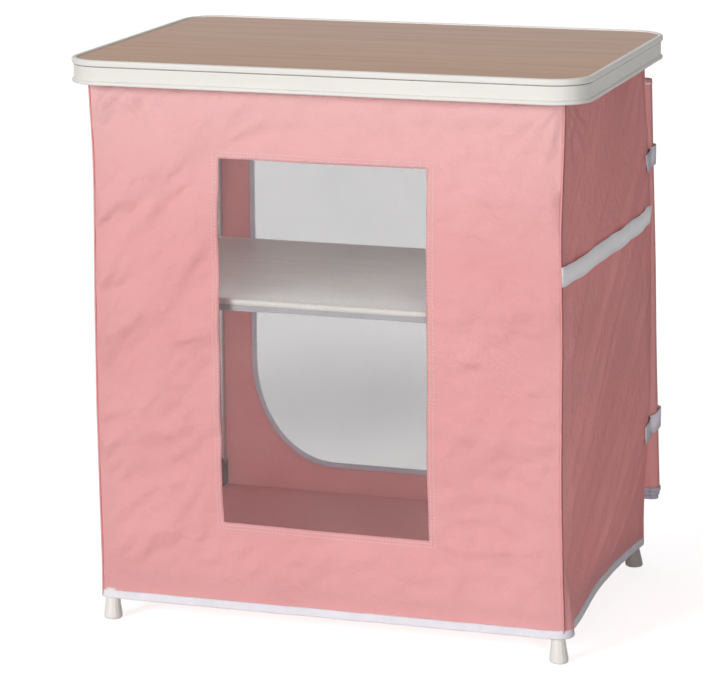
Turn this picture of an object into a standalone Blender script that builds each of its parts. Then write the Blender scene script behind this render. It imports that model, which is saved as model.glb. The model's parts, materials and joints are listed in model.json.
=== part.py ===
"""Folding camping cupboard: a tray top on a concertina leg frame, with a sewn fabric cover.

Metres, +Z up. The origin is on the floor below the middle of the top. The mesh window faces -Y,
the zipped door faces +Y, and the side with the webbing strap faces +X.
Each side of the cupboard has a lower and an upper frame that meet at an elbow. The elbows fold
inwards, so the tray comes straight down onto the base.
"""
import math

import bmesh
import bpy
from mathutils import Vector

# Overall size
OVERALL_HEIGHT = 0.820
TRAY_LENGTH = 0.750
TRAY_DEPTH = 0.520
TRAY_CORNER_RADIUS = 0.055
CLEARANCE = 0.0003

# Tray: extruded rim round a wood-decor panel
RIM_HEIGHT = 0.035
RIM_BEAD = 0.003
RIM_WALL = 0.0030
RIM_LEDGE = 0.0062
RIM_LEDGE_THICKNESS = 0.0017
RIM_BEAD_WIDTH = 0.0078
PANEL_THICKNESS = 0.0065
PANEL_RECESS = 0.0020
TRAY_RAIL_WIDTH = 0.0160
TRAY_RAIL_HEIGHT = 0.0175
TRAY_RAIL_WALL = 0.0015
TRAY_RAIL_END_GAP = 0.0005
TRAY_HINGE_DROP = 0.0427

# Leg frames
LEG_DIAMETER = 0.0150
LEG_WALL = 0.0012
LEG_INSET_X = 0.0173
LEG_INSET_Y = 0.0108
BASE_HINGE_HEIGHT = 0.115
ELBOW_GAP = 0.0005
KNUCKLE_WIDTH = 0.0156
ELBOW_EAR_RADIUS = 0.0040
ELBOW_HEAD_LENGTH = 0.0180
ELBOW_PLUG_LENGTH = 0.0200
EYE_RADIUS = 0.0060
EYE_THICKNESS = 0.0064
EYE_INSET = 0.0150
FORK_RADIUS = 0.0070
FORK_SLOT_SIDE_GAP = 0.0003
FORK_SLOT_DEPTH = 0.0030
HINGE_PIN_RADIUS = 0.0020
CROSSBAR_DIAMETER = 0.0120
CROSSBAR_DROP = 0.060

# Base
FOOT_INSET_X = 0.0113
FOOT_HEIGHT = 0.046
FOOT_SOLE_RADIUS = 0.0125
FOOT_NECK_RADIUS = 0.0092
FOOT_RING_RADIUS = 0.0097
CORNER_BLOCK_LENGTH = 0.0192
CORNER_BLOCK_HEIGHT = 0.036
BASE_RAIL_SIZE = 0.0150
BASE_RAIL_WALL = 0.0015
BASE_RAIL_HEIGHT = 0.0630
FLOOR_THICKNESS = 0.0070

# Shelf
SHELF_ABOVE_ELBOW = 0.0330
SHELF_THICKNESS = 0.0168
SHELF_OVERHANG = 0.0020
SHELF_SIDE_GAP = 0.0011
SHELF_EDGE_DEPTH = 0.0060
SHELF_BEAD_HEIGHT = 0.0075
SHELF_BOARD_THICKNESS = 0.0050
SHELF_BOARD_RECESS = 0.0010
SHELF_LIP = 0.0060
SHELF_LIP_THICKNESS = 0.0015

# Fabric cover
COVER_INSET_X = 0.0317
COVER_INSET_Y = 0.0320
COVER_TUCK = 0.0150
FABRIC = 0.0008
HEM_HEIGHT = 0.037
HEM_WIDTH = 0.011
HEM_THICKNESS = 0.0028
WINDOW_WIDTH = 0.306
WINDOW_BOTTOM = 0.160
WINDOW_BELOW_RIM = 0.098
MESH_THICKNESS = 0.0004
DOOR_LEFT_MARGIN = 0.0663
DOOR_HINGE_MARGIN = 0.0253
DOOR_BOTTOM = 0.118
DOOR_BELOW_RIM = 0.037
DOOR_CORNER_RADIUS = 0.135
DOOR_UPPER_CORNER_RADIUS = 0.120
ZIP_TAPE_WIDTH = 0.010
ZIP_TAPE_OVERLAP = 0.003
ZIP_TAPE_THICKNESS = 0.0009
ZIP_SLIDER_LENGTH = 0.014
ZIP_SLIDER_WIDTH = 0.009
ZIP_SLIDER_THICKNESS = 0.0036
ZIP_SLIDER_GAP = 0.0045
ZIP_PULL_LENGTH = 0.028
ZIP_PULL_WIDTH = 0.006
ZIP_PULL_THICKNESS = 0.0016
ZIP_PULL_EYE = 0.0014
ZIP_PULL_PIN_RADIUS = 0.0006
ROLL_WIDTH = 0.0872
ROLL_THICKNESS = 0.0270
ROLL_TOP_OUTREACH = 0.0104
ROLL_BOTTOM_OUTREACH = 0.0300
TIE_WIDTH = 0.029
TIE_THICKNESS = 0.0010
UPPER_TIE_BELOW_DOOR_TOP = 0.1295
LOWER_TIE_HEIGHT = 0.2095
STRAP_ABOVE_ELBOW = 0.100
STRAP_WIDTH = 0.028
STRAP_THICKNESS = 0.0012

# Mesh fineness
TUBE_STEPS = 16
PIN_STEPS = 12
CORNER_STEPS = 8

# Worked-out places
LEG_RADIUS = LEG_DIAMETER / 2
COVER_X = TRAY_LENGTH / 2 - COVER_INSET_X
COVER_Y = TRAY_DEPTH / 2 - COVER_INSET_Y
LEG_X = COVER_X - LEG_INSET_X
LEG_Y = COVER_Y - LEG_INSET_Y
FOOT_X = COVER_X - FOOT_INSET_X
RIM_BOTTOM = OVERALL_HEIGHT - RIM_HEIGHT
PANEL_TOP = OVERALL_HEIGHT - PANEL_RECESS
PANEL_BOTTOM = PANEL_TOP - PANEL_THICKNESS
TRAY_RAIL_BOTTOM = PANEL_BOTTOM - CLEARANCE - TRAY_RAIL_HEIGHT
TRAY_RAIL_LENGTH = 2 * (COVER_X - FABRIC - TRAY_RAIL_END_GAP)
TRAY_HINGE_HEIGHT = TRAY_RAIL_BOTTOM - TRAY_HINGE_DROP
HALF_LEG_LENGTH = (TRAY_HINGE_HEIGHT - BASE_HINGE_HEIGHT) / 2
ELBOW_HEIGHT = BASE_HINGE_HEIGHT + HALF_LEG_LENGTH
ELBOW_OFFSET = LEG_RADIUS + ELBOW_GAP
EYE_START = FORK_RADIUS + 0.0015
SHELF_BOTTOM = ELBOW_HEIGHT + SHELF_ABOVE_ELBOW
SHELF_TOP_HEIGHT = SHELF_BOTTOM + SHELF_THICKNESS
SHELF_LENGTH = 2 * (LEG_X + SHELF_OVERHANG)
SHELF_DEPTH = 2 * (LEG_Y - LEG_RADIUS - SHELF_SIDE_GAP)
FLOOR_BOTTOM = BASE_RAIL_HEIGHT + BASE_RAIL_SIZE / 2 + CLEARANCE
COVER_TOP_HEIGHT = RIM_BOTTOM + COVER_TUCK
COVER_BOTTOM = HEM_HEIGHT + HEM_WIDTH + CLEARANCE
WINDOW_TOP = RIM_BOTTOM - WINDOW_BELOW_RIM
DOOR_LEFT = -COVER_X + DOOR_LEFT_MARGIN
DOOR_RIGHT = COVER_X - DOOR_HINGE_MARGIN
DOOR_TOP = RIM_BOTTOM - DOOR_BELOW_RIM
ROLL_LEFT = COVER_X + ROLL_TOP_OUTREACH - ROLL_WIDTH
ZIP_SLIDER_X = ROLL_LEFT - ZIP_SLIDER_GAP - ZIP_SLIDER_LENGTH / 2
UPPER_TIE_HEIGHT = DOOR_TOP - UPPER_TIE_BELOW_DOOR_TOP
ZIP_TAPE_REACH = ZIP_TAPE_WIDTH - ZIP_TAPE_OVERLAP
ZIP_HEIGHT = DOOR_TOP - ZIP_TAPE_REACH
STRAP_HEIGHT = ELBOW_HEIGHT + STRAP_ABOVE_ELBOW
SIDES = (("left", -1), ("right", 1))
ENDS = (("front", -1), ("rear", 1))


def clear_scene():
    for obj in list(bpy.data.objects):
        bpy.data.objects.remove(obj, do_unlink=True)


def new_collection(name):
    collection = bpy.data.collections.new(name)
    bpy.context.scene.collection.children.link(collection)
    return collection


def new_material(name, colour, roughness, metallic=0.0):
    material = bpy.data.materials.new(name)
    material.use_nodes = True
    shader = material.node_tree.nodes["Principled BSDF"]
    shader.inputs["Base Color"].default_value = (*colour, 1.0)
    shader.inputs["Roughness"].default_value = roughness
    shader.inputs["Metallic"].default_value = metallic
    material.diffuse_color = (*colour, 1.0)
    return material


clear_scene()
PARTS = new_collection("camping_cupboard")
CUTTERS = new_collection("cutters")
WOOD = new_material("wood_decor", (0.45, 0.33, 0.26), 0.45)
IVORY = new_material("ivory_aluminium", (0.86, 0.84, 0.80), 0.35)
ALUMINIUM = new_material("leg_aluminium", (0.72, 0.73, 0.74), 0.35, 1.0)
KNUCKLE = new_material("knuckle_nylon", (0.20, 0.20, 0.21), 0.55)
FOOT_PLASTIC = new_material("foot_plastic", (0.84, 0.81, 0.77), 0.5)
SHELF_DECOR = new_material("shelf_decor", (0.62, 0.56, 0.53), 0.5)
PINK = new_material("pink_polyester", (0.88, 0.46, 0.45), 0.85)
NETTING = new_material("window_net", (0.55, 0.55, 0.55), 0.9)
TAPE = new_material("grey_tape", (0.42, 0.43, 0.47), 0.85)
BINDING = new_material("white_binding", (0.82, 0.80, 0.82), 0.85)
ZINC = new_material("zip_metal", (0.60, 0.60, 0.62), 0.35, 1.0)


def finish(obj, material, smooth_angle=35.0):
    """Gives an object its material and shades its round faces smooth."""
    obj.data.materials.clear()
    obj.data.materials.append(material)
    if obj.type == "MESH":
        obj.data.shade_smooth()
        obj.data.set_sharp_from_angle(angle=math.radians(smooth_angle))


def mesh_object(name, bm, collection=None):
    bmesh.ops.recalc_face_normals(bm, faces=bm.faces[:])
    mesh = bpy.data.meshes.new(name)
    bm.to_mesh(mesh)
    bm.free()
    obj = bpy.data.objects.new(name, mesh)
    (collection or PARTS).objects.link(obj)
    return obj


def block(name, low, high, collection=None):
    """A box between two corners, with its origin at its middle."""
    low, high = Vector(low), Vector(high)
    bm = bmesh.new()
    bmesh.ops.create_cube(bm, size=1.0)
    bmesh.ops.scale(bm, vec=high - low, verts=bm.verts[:])
    obj = mesh_object(name, bm, collection)
    obj.location = (low + high) / 2
    return obj


def rod(name, radius, length, axis, centre, steps=TUBE_STEPS, collection=None):
    """A round bar along X, Y or Z."""
    bm = bmesh.new()
    bmesh.ops.create_cone(bm, cap_ends=True, segments=steps, radius1=radius, radius2=radius, depth=length)
    obj = mesh_object(name, bm, collection)
    turns = {"X": (0, math.pi / 2, 0), "Y": (math.pi / 2, 0, 0), "Z": (0, 0, 0)}
    obj.rotation_euler = turns[axis]
    obj.location = centre
    return obj


def arc(centre, radius, start, stop, steps):
    """Points of an arc, angles in degrees."""
    angles = [math.radians(start + (stop - start) * i / steps) for i in range(steps + 1)]
    return [(centre[0] + radius * math.cos(a), centre[1] + radius * math.sin(a)) for a in angles]


def rounded_rectangle(half_x, half_y, radius, steps=CORNER_STEPS):
    points = []
    for sx, sy, start in ((1, 1, 0), (-1, 1, 90), (-1, -1, 180), (1, -1, 270)):
        centre = (sx * (half_x - radius), sy * (half_y - radius))
        points += arc(centre, radius, start, start + 90, steps)
    return points


def curve_data(name, outlines, dimensions="2D"):
    curve = bpy.data.curves.new(name, "CURVE")
    curve.dimensions = dimensions
    for outline in outlines:
        spline = curve.splines.new("POLY")
        spline.points.add(len(outline) - 1)
        for point, (x, y) in zip(spline.points, outline):
            point.co = (x, y, 0, 1)
        spline.use_cyclic_u = True
    return curve


def to_mesh(curve_object):
    """Turns a curve object into a mesh object with welded caps."""
    bpy.context.view_layer.update()
    evaluated = curve_object.evaluated_get(bpy.context.evaluated_depsgraph_get())
    bm = bmesh.new()
    mesh = bpy.data.meshes.new_from_object(evaluated)
    bm.from_mesh(mesh)
    bpy.data.meshes.remove(mesh)
    bmesh.ops.remove_doubles(bm, verts=bm.verts[:], dist=0.000005)
    name = curve_object.name
    collection = curve_object.users_collection[0]
    matrix = curve_object.matrix_world.copy()
    bpy.data.objects.remove(curve_object, do_unlink=True)
    obj = mesh_object(name, bm, collection)
    obj.matrix_world = matrix
    return obj


def prism(name, outlines, axis, low, high, collection=None):
    """A flat outline, with holes if it has several loops, extruded along X, Y or Z from low to high.

    The outline's two coordinates are (Y, Z) along X, (X, Z) along Y and (X, Y) along Z.
    """
    curve = curve_data(name, outlines)
    curve.fill_mode = "BOTH"
    curve.extrude = (high - low) / 2
    obj = bpy.data.objects.new(name, curve)
    (collection or PARTS).objects.link(obj)
    middle = (low + high) / 2
    turns = {"X": (math.pi / 2, 0, math.pi / 2), "Y": (math.pi / 2, 0, 0), "Z": (0, 0, 0)}
    places = {"X": (middle, 0, 0), "Y": (0, middle, 0), "Z": (0, 0, middle)}
    obj.rotation_euler = turns[axis]
    obj.location = places[axis]
    return to_mesh(obj)


def turned(name, profile, steps=TUBE_STEPS, closed=False):
    """A profile of (radius, height) points turned about Z, outer side listed from top to bottom."""
    bm = bmesh.new()
    vertices = [bm.verts.new((radius, 0, height)) for radius, height in profile]
    for first, second in zip(vertices, vertices[1:]):
        bm.edges.new((first, second))
    if closed:
        bm.edges.new((vertices[-1], vertices[0]))
    mesh = bpy.data.meshes.new(name)
    bm.to_mesh(mesh)
    bm.free()
    obj = bpy.data.objects.new(name, mesh)
    PARTS.objects.link(obj)
    screw = obj.modifiers.new("turn", "SCREW")
    screw.steps = steps
    screw.render_steps = steps
    screw.use_merge_vertices = True
    screw.merge_threshold = 0.00005
    return obj


def add_boolean(obj, other, operation):
    if other.users_collection[0] is not CUTTERS:
        for collection in list(other.users_collection):
            collection.objects.unlink(other)
        CUTTERS.objects.link(other)
    other.hide_render = True
    other.display_type = "WIRE"
    modifier = obj.modifiers.new(operation.lower(), "BOOLEAN")
    modifier.operation = operation
    modifier.object = other


def cut(obj, cutter):
    add_boolean(obj, cutter, "DIFFERENCE")


def join(obj, other):
    add_boolean(obj, other, "UNION")


def ease_edges(obj, width, segments=1):
    bevel = obj.modifiers.new("eased edges", "BEVEL")
    bevel.width = width
    bevel.segments = segments
    bevel.limit_method = "ANGLE"
    bevel.angle_limit = math.radians(50)
    bevel.harden_normals = False


def joint_empty(name, location, parent=None):
    """An empty on a joint's axis, which carries the body that turns or slides there."""
    empty = bpy.data.objects.new(name, None)
    PARTS.objects.link(empty)
    empty.empty_display_size = 0.02
    empty.parent = parent
    empty.location = Vector(location) - world_place(parent)
    return empty


def world_place(obj):
    if obj is None:
        return Vector((0, 0, 0))
    return Vector(obj.location) + world_place(obj.parent)


def carry(objects, empty):
    """Parents objects that stand at their world places to an empty, without moving them."""
    for obj in objects:
        obj.location = Vector(obj.location) - world_place(empty)
        obj.parent = empty


def rim_profile():
    """Section of the rim extrusion: distance outwards from its outer line, and height from its foot."""
    face = -RIM_BEAD
    inner = -RIM_BEAD - RIM_WALL
    bead_inner = -RIM_BEAD_WIDTH
    ledge_top = PANEL_BOTTOM - CLEARANCE - RIM_BOTTOM
    bead_bottom = ledge_top + 0.0008
    bead_radius = RIM_BEAD
    foot_radius = 0.0016
    points = [(inner, 0.0), (-foot_radius, 0.0)]
    points += arc((-foot_radius, 0.0032), foot_radius, 0, 60, 2)
    points += [(face, 0.0062), (face, ledge_top - 0.0010)]
    points += [(face - 0.0014, ledge_top - 0.0006), (face - 0.0014, ledge_top), (face, bead_bottom)]
    points += arc((-bead_radius, bead_bottom + 0.0030), bead_radius, -50, 0, 2)
    points += arc((-bead_radius, RIM_HEIGHT - bead_radius), bead_radius, 0, 90, 4)
    points += [(bead_inner + 0.0012, RIM_HEIGHT - 0.0004), (bead_inner, RIM_HEIGHT - 0.0016)]
    points += [(bead_inner, ledge_top), (inner, ledge_top)]
    return points


def ledge_profile():
    """Section of the strip inside the rim that the panel lies on, in the same terms."""
    outer = -RIM_BEAD - RIM_WALL - CLEARANCE
    inner = -RIM_BEAD - RIM_WALL - RIM_LEDGE
    top = PANEL_BOTTOM - CLEARANCE - RIM_BOTTOM
    bottom = top - RIM_LEDGE_THICKNESS
    return [(outer, bottom), (outer, top), (inner, top), (inner, bottom)]


def sweep_round_tray(name, section):
    """Bends an extrusion with this section round the tray's outline."""
    mirrored = [(-across, height) for across, height in section]
    profile = bpy.data.objects.new(name + "_profile", curve_data(name + "_profile", [mirrored]))
    CUTTERS.objects.link(profile)
    profile.hide_render = True
    curve = curve_data(name, [rounded_rectangle(TRAY_LENGTH / 2, TRAY_DEPTH / 2, TRAY_CORNER_RADIUS)])
    curve.fill_mode = "NONE"
    curve.bevel_mode = "OBJECT"
    curve.bevel_object = profile
    extrusion = bpy.data.objects.new(name, curve)
    PARTS.objects.link(extrusion)
    extrusion.location = (0, 0, RIM_BOTTOM)
    extrusion = to_mesh(extrusion)
    finish(extrusion, IVORY)
    return extrusion


def make_panel():
    inset = RIM_BEAD_WIDTH + CLEARANCE
    outline = rounded_rectangle(TRAY_LENGTH / 2 - inset, TRAY_DEPTH / 2 - inset, TRAY_CORNER_RADIUS - inset)
    panel = prism("top_panel", [outline], "Z", PANEL_BOTTOM, PANEL_TOP)
    finish(panel, WOOD)
    return panel


def channel_outline(width, height, wall, top, middle=0.0):
    """Section of a channel that is open below."""
    half = width / 2
    bottom = top - height
    points = [(half, bottom), (half, top), (-half, top), (-half, bottom)]
    points += [(-half + wall, bottom), (-half + wall, top - wall)]
    points += [(half - wall, top - wall), (half - wall, bottom)]
    return [(middle + x, y) for x, y in points]


def make_tray_rail(end, sign):
    outline = channel_outline(TRAY_RAIL_WIDTH, TRAY_RAIL_HEIGHT, TRAY_RAIL_WALL,
                              PANEL_BOTTOM - CLEARANCE, sign * LEG_Y)
    rail = prism("tray_rail_" + end, [outline], "X", -TRAY_RAIL_LENGTH / 2, TRAY_RAIL_LENGTH / 2)
    finish(rail, ALUMINIUM)
    return rail


def fork_outline(pivot_height, root_height):
    """Rounded bar from a pivot to its root, seen along Y."""
    if root_height > pivot_height:
        ends = arc((0, pivot_height), FORK_RADIUS, 180, 360, 8)
    else:
        ends = arc((0, pivot_height), FORK_RADIUS, 0, 180, 8)
    first, last = ends[0], ends[-1]
    return ends + [(last[0], root_height), (first[0], root_height)]


def make_fork(name, x, y, pivot_height, root_height):
    """A fork with its pin: two cheeks round the slot that a leg's eye turns in."""
    outline = [(x + px, pz) for px, pz in fork_outline(pivot_height, root_height)]
    fork = prism(name, [outline], "Y", y - KNUCKLE_WIDTH / 2, y + KNUCKLE_WIDTH / 2)
    half_slot = EYE_THICKNESS / 2 + FORK_SLOT_SIDE_GAP
    towards_root = 1 if root_height > pivot_height else -1
    slot_end = pivot_height + towards_root * (EYE_RADIUS + FORK_SLOT_DEPTH)
    slot_mouth = pivot_height - towards_root * 2 * FORK_RADIUS
    low = (x - 2 * FORK_RADIUS, y - half_slot, min(slot_end, slot_mouth))
    high = (x + 2 * FORK_RADIUS, y + half_slot, max(slot_end, slot_mouth))
    cut(fork, block(name + "_slot", low, high, CUTTERS))
    pin = rod(name + "_pin", HINGE_PIN_RADIUS, KNUCKLE_WIDTH - 0.001, "Y", (x, y, pivot_height),
              PIN_STEPS, CUTTERS)
    join(fork, pin)
    return fork


def make_tray_hinge(side, sign, end, end_sign):
    """Hangs under a tray rail. A boss on its root stands inside the channel."""
    name = "tray_hinge_%s_%s" % (side, end)
    x, y = sign * LEG_X, end_sign * LEG_Y
    hinge = make_fork(name, x, y, TRAY_HINGE_HEIGHT, TRAY_RAIL_BOTTOM - CLEARANCE)
    half = TRAY_RAIL_WIDTH / 2 - TRAY_RAIL_WALL - CLEARANCE
    boss = block(name + "_boss", (x - FORK_RADIUS, y - half, TRAY_RAIL_BOTTOM - 0.004),
                 (x + FORK_RADIUS, y + half, PANEL_BOTTOM - TRAY_RAIL_WALL - 2 * CLEARANCE), CUTTERS)
    join(hinge, boss)
    finish(hinge, KNUCKLE)
    return hinge


def tube_outline(inner_start, end):
    """Section of a hollow tube that is turned about Z."""
    inner = LEG_RADIUS - LEG_WALL
    return [(LEG_RADIUS, end), (LEG_RADIUS, inner_start), (inner, inner_start), (inner, end)]


def make_leg(name, x, y, pivot_height, direction):
    """A leg tube with a pressed eye at its hinge. Its origin is on the hinge axis."""
    reach = HALF_LEG_LENGTH - ELBOW_HEAD_LENGTH - CLEARANCE
    leg = turned(name, tube_outline(EYE_START, reach), closed=True)
    leg.rotation_euler = (0 if direction > 0 else math.pi, 0, 0)
    leg.location = (x, y, pivot_height)
    web = LEG_RADIUS - LEG_WALL / 2
    outline = arc((0, 0), EYE_RADIUS, 180, 360, 10)
    outline += [(EYE_RADIUS, EYE_START - 0.001), (web, EYE_START), (web, EYE_START + EYE_INSET)]
    outline += [(-web, EYE_START + EYE_INSET), (-web, EYE_START), (-EYE_RADIUS, EYE_START - 0.001)]
    eye = prism(name + "_eye", [outline], "Y", -EYE_THICKNESS / 2, EYE_THICKNESS / 2, CUTTERS)
    hole = rod(name + "_eye_hole", HINGE_PIN_RADIUS + CLEARANCE, 2 * LEG_DIAMETER, "Y", (0, 0, 0),
               PIN_STEPS, CUTTERS)
    for tool in (eye, hole):
        tool.parent = leg
    join(leg, eye)
    cut(leg, hole)
    finish(leg, ALUMINIUM)
    return leg


def knuckle_head(name, x, y, sign, direction):
    """The plugged head that an elbow knuckle has, on the leg below or above the elbow."""
    near = CLEARANCE
    pivot = x + sign * ELBOW_OFFSET
    inner = x - sign * LEG_RADIUS
    outer = pivot - sign * CLEARANCE
    far = ELBOW_HEAD_LENGTH
    heights = sorted((ELBOW_HEIGHT + direction * near, ELBOW_HEIGHT + direction * far))
    low = (min(inner, outer), y - KNUCKLE_WIDTH / 2, heights[0])
    high = (max(inner, outer), y + KNUCKLE_WIDTH / 2, heights[1])
    head = block(name, low, high)
    plug_radius = LEG_RADIUS - LEG_WALL - CLEARANCE
    plug_middle = ELBOW_HEIGHT + direction * (far + ELBOW_PLUG_LENGTH / 2 - 0.001)
    plug = rod(name + "_plug", plug_radius, ELBOW_PLUG_LENGTH + 0.002, "Z", (x, y, plug_middle),
               TUBE_STEPS, CUTTERS)
    join(head, plug)
    return head, pivot


def lane_rod(name, radius, pivot, y, lane_low, lane_high):
    """A round along Y on the elbow's axis, between two distances from the leg's middle plane."""
    return rod(name, radius, lane_high - lane_low, "Y", (pivot, y + (lane_low + lane_high) / 2, ELBOW_HEIGHT),
               TUBE_STEPS, CUTTERS)


def make_elbow_fork(side, sign, end, end_sign):
    """Two ears with the elbow's pin, on top of a lower leg."""
    name = "elbow_fork_%s_%s" % (side, end)
    x, y = sign * LEG_X, end_sign * LEG_Y
    head, pivot = knuckle_head(name, x, y, sign, -1)
    half_tongue = EYE_THICKNESS / 2 + FORK_SLOT_SIDE_GAP
    half = KNUCKLE_WIDTH / 2
    for ear, low, high in (("near", -half, -half_tongue), ("far", half_tongue, half)):
        join(head, lane_rod("%s_%s_ear" % (name, ear), ELBOW_EAR_RADIUS, pivot, y, low, high))
    room = ELBOW_EAR_RADIUS + 2 * CLEARANCE
    cut(head, lane_rod(name + "_tongue_room", room, pivot, y, -half_tongue, half_tongue))
    join(head, rod(name + "_pin", HINGE_PIN_RADIUS, KNUCKLE_WIDTH - 0.001, "Y",
                   (pivot, y, ELBOW_HEIGHT), PIN_STEPS, CUTTERS))
    finish(head, KNUCKLE)
    return head


def make_elbow_tongue(side, sign, end, end_sign):
    """The single ear under an upper leg, which turns on the fork's pin."""
    name = "elbow_tongue_%s_%s" % (side, end)
    x, y = sign * LEG_X, end_sign * LEG_Y
    head, pivot = knuckle_head(name, x, y, sign, 1)
    half_tongue = EYE_THICKNESS / 2
    half = KNUCKLE_WIDTH / 2
    room = ELBOW_EAR_RADIUS + 2 * CLEARANCE
    for ear, low, high in (("near", -half - 0.001, -half_tongue), ("far", half_tongue, half + 0.001)):
        cut(head, lane_rod("%s_%s_ear_room" % (name, ear), room, pivot, y, low, high))
    join(head, lane_rod(name + "_ear", ELBOW_EAR_RADIUS, pivot, y, -half_tongue, half_tongue))
    cut(head, rod(name + "_pin_hole", HINGE_PIN_RADIUS + CLEARANCE, 2 * KNUCKLE_WIDTH, "Y",
                  (pivot, y, ELBOW_HEIGHT), PIN_STEPS, CUTTERS))
    finish(head, KNUCKLE)
    return head


def make_crossbar(name, x, height):
    """A bar between the front and rear legs of one frame, with ends coped round the tubes."""
    bar = rod(name, CROSSBAR_DIAMETER / 2, 2 * LEG_Y, "Y", (x, 0, height))
    for end, sign in ENDS:
        saddle = rod("%s_%s_saddle" % (name, end), LEG_RADIUS + CLEARANCE, 4 * CROSSBAR_DIAMETER, "Z",
                     (x, sign * LEG_Y, height), TUBE_STEPS, CUTTERS)
        cut(bar, saddle)
        beyond = sorted((sign * LEG_Y, sign * (LEG_Y + LEG_DIAMETER)))
        half = CROSSBAR_DIAMETER
        cut(bar, block("%s_%s_end" % (name, end), (x - half, beyond[0], height - half),
                       (x + half, beyond[1], height + half), CUTTERS))
    finish(bar, ALUMINIUM)
    return bar


def make_foot(side, sign, end, end_sign):
    """A flared foot with a fine ring under its neck."""
    flare = [(FOOT_NECK_RADIUS, 0.74), (0.0098, 0.60), (0.0109, 0.42), (0.0120, 0.26)]
    profile = [(0.0, FOOT_HEIGHT), (FOOT_NECK_RADIUS, FOOT_HEIGHT)]
    profile += [(FOOT_NECK_RADIUS, 0.82 * FOOT_HEIGHT), (FOOT_RING_RADIUS, 0.80 * FOOT_HEIGHT)]
    profile += [(FOOT_RING_RADIUS, 0.77 * FOOT_HEIGHT)]
    profile += [(radius, share * FOOT_HEIGHT) for radius, share in flare]
    profile += [(FOOT_SOLE_RADIUS, 0.12 * FOOT_HEIGHT), (FOOT_SOLE_RADIUS - 0.0004, 0.04 * FOOT_HEIGHT)]
    profile += [(FOOT_SOLE_RADIUS - 0.0025, 0.0), (0.0, 0.0)]
    foot = turned("foot_%s_%s" % (side, end), profile, steps=20)
    foot.location = (sign * FOOT_X, end_sign * LEG_Y, 0)
    finish(foot, FOOT_PLASTIC)
    return foot


def make_corner_block(side, sign, end, end_sign):
    """A moulded corner on each foot, which takes the rails and carries the base hinge's fork."""
    name = "corner_block_%s_%s" % (side, end)
    y = end_sign * LEG_Y
    bottom = FOOT_HEIGHT + CLEARANCE
    top = bottom + CORNER_BLOCK_HEIGHT
    half = FOOT_NECK_RADIUS
    xs = sorted((sign * (FOOT_X + half), sign * (FOOT_X + half - CORNER_BLOCK_LENGTH)))
    corner = make_fork(name, sign * LEG_X, y, BASE_HINGE_HEIGHT, top - 0.002)
    join(corner, block(name + "_body", (xs[0], y - half, bottom), (xs[1], y + half, top), CUTTERS))
    finish(corner, KNUCKLE)
    return corner


def square_tube(half_u, half_v, wall, centre):
    loops = []
    for inset in (0.0, wall):
        u, v = half_u - inset, half_v - inset
        corners = ((u, v), (-u, v), (-u, -v), (u, -v))
        loops.append([(centre[0] + across, centre[1] + up) for across, up in corners])
    return loops


def make_base_rails():
    half = BASE_RAIL_SIZE / 2
    block_inner_x = FOOT_X + FOOT_NECK_RADIUS - CORNER_BLOCK_LENGTH
    long_half = block_inner_x - CLEARANCE
    short_half = LEG_Y - FOOT_NECK_RADIUS - CLEARANCE
    rails = []
    for end, sign in ENDS:
        loops = square_tube(half, half, BASE_RAIL_WALL, (sign * LEG_Y, BASE_RAIL_HEIGHT))
        rails.append(prism("base_rail_" + end, loops, "X", -long_half, long_half))
    for side, sign in SIDES:
        loops = square_tube(half, half, BASE_RAIL_WALL, (sign * FOOT_X, BASE_RAIL_HEIGHT))
        rails.append(prism("base_rail_" + side, loops, "Y", -short_half, short_half))
    for rail in rails:
        finish(rail, ALUMINIUM)
    return rails


def make_floor():
    """A board on the base rails, notched round the corner blocks."""
    half_x = FOOT_X + FOOT_NECK_RADIUS
    half_y = LEG_Y + FOOT_NECK_RADIUS
    notch_x = half_x - CORNER_BLOCK_LENGTH - CLEARANCE
    notch_y = LEG_Y - FOOT_NECK_RADIUS - CLEARANCE
    quarter = [(half_x, -notch_y), (half_x, notch_y), (notch_x, notch_y), (notch_x, half_y)]
    outline = quarter + [(-x, y) for x, y in reversed(quarter)]
    outline = [point for point in outline if point[1] > -notch_y - CLEARANCE]
    lower = [(x, -y) for x, y in reversed(outline)]
    outline = outline + [point for point in lower if point not in outline]
    floor = prism("floor_board", [outline], "Z", FLOOR_BOTTOM, FLOOR_BOTTOM + FLOOR_THICKNESS)
    finish(floor, PINK)
    return floor


def make_shelf():
    """A thin board between two edge sections, each with a lip under the board."""
    half_y = SHELF_DEPTH / 2
    half_x = SHELF_LENGTH / 2
    board_half = half_y - SHELF_EDGE_DEPTH
    board_top = SHELF_TOP_HEIGHT - SHELF_BOARD_RECESS
    board_bottom = board_top - SHELF_BOARD_THICKNESS
    board = block("shelf_board", (-half_x, -board_half, board_bottom), (half_x, board_half, board_top))
    finish(board, SHELF_DECOR)
    pieces = [board]
    inner = board_half + CLEARANCE
    web = half_y - 0.0020
    bead = SHELF_BEAD_HEIGHT / 2
    lip_top = board_bottom - CLEARANCE
    section = [(inner, SHELF_BOTTOM), (web, SHELF_BOTTOM), (web, SHELF_TOP_HEIGHT - SHELF_BEAD_HEIGHT)]
    section += arc((half_y - bead, SHELF_TOP_HEIGHT - bead), bead, -60, 90, 6)
    section += [(inner, SHELF_TOP_HEIGHT), (inner, lip_top), (inner - SHELF_LIP, lip_top)]
    section += [(inner - SHELF_LIP, lip_top - SHELF_LIP_THICKNESS), (inner, lip_top - SHELF_LIP_THICKNESS)]
    for end, sign in ENDS:
        outline = [(sign * y, z) for y, z in section]
        edge = prism("shelf_edge_" + end, [outline], "X", -half_x, half_x)
        finish(edge, IVORY)
        pieces.append(edge)
    return pieces


def cover_face(bottom, top):
    """Outline of the cover's front or rear wall."""
    return [(-COVER_X, bottom), (COVER_X, bottom), (COVER_X, top), (-COVER_X, top)]


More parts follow.
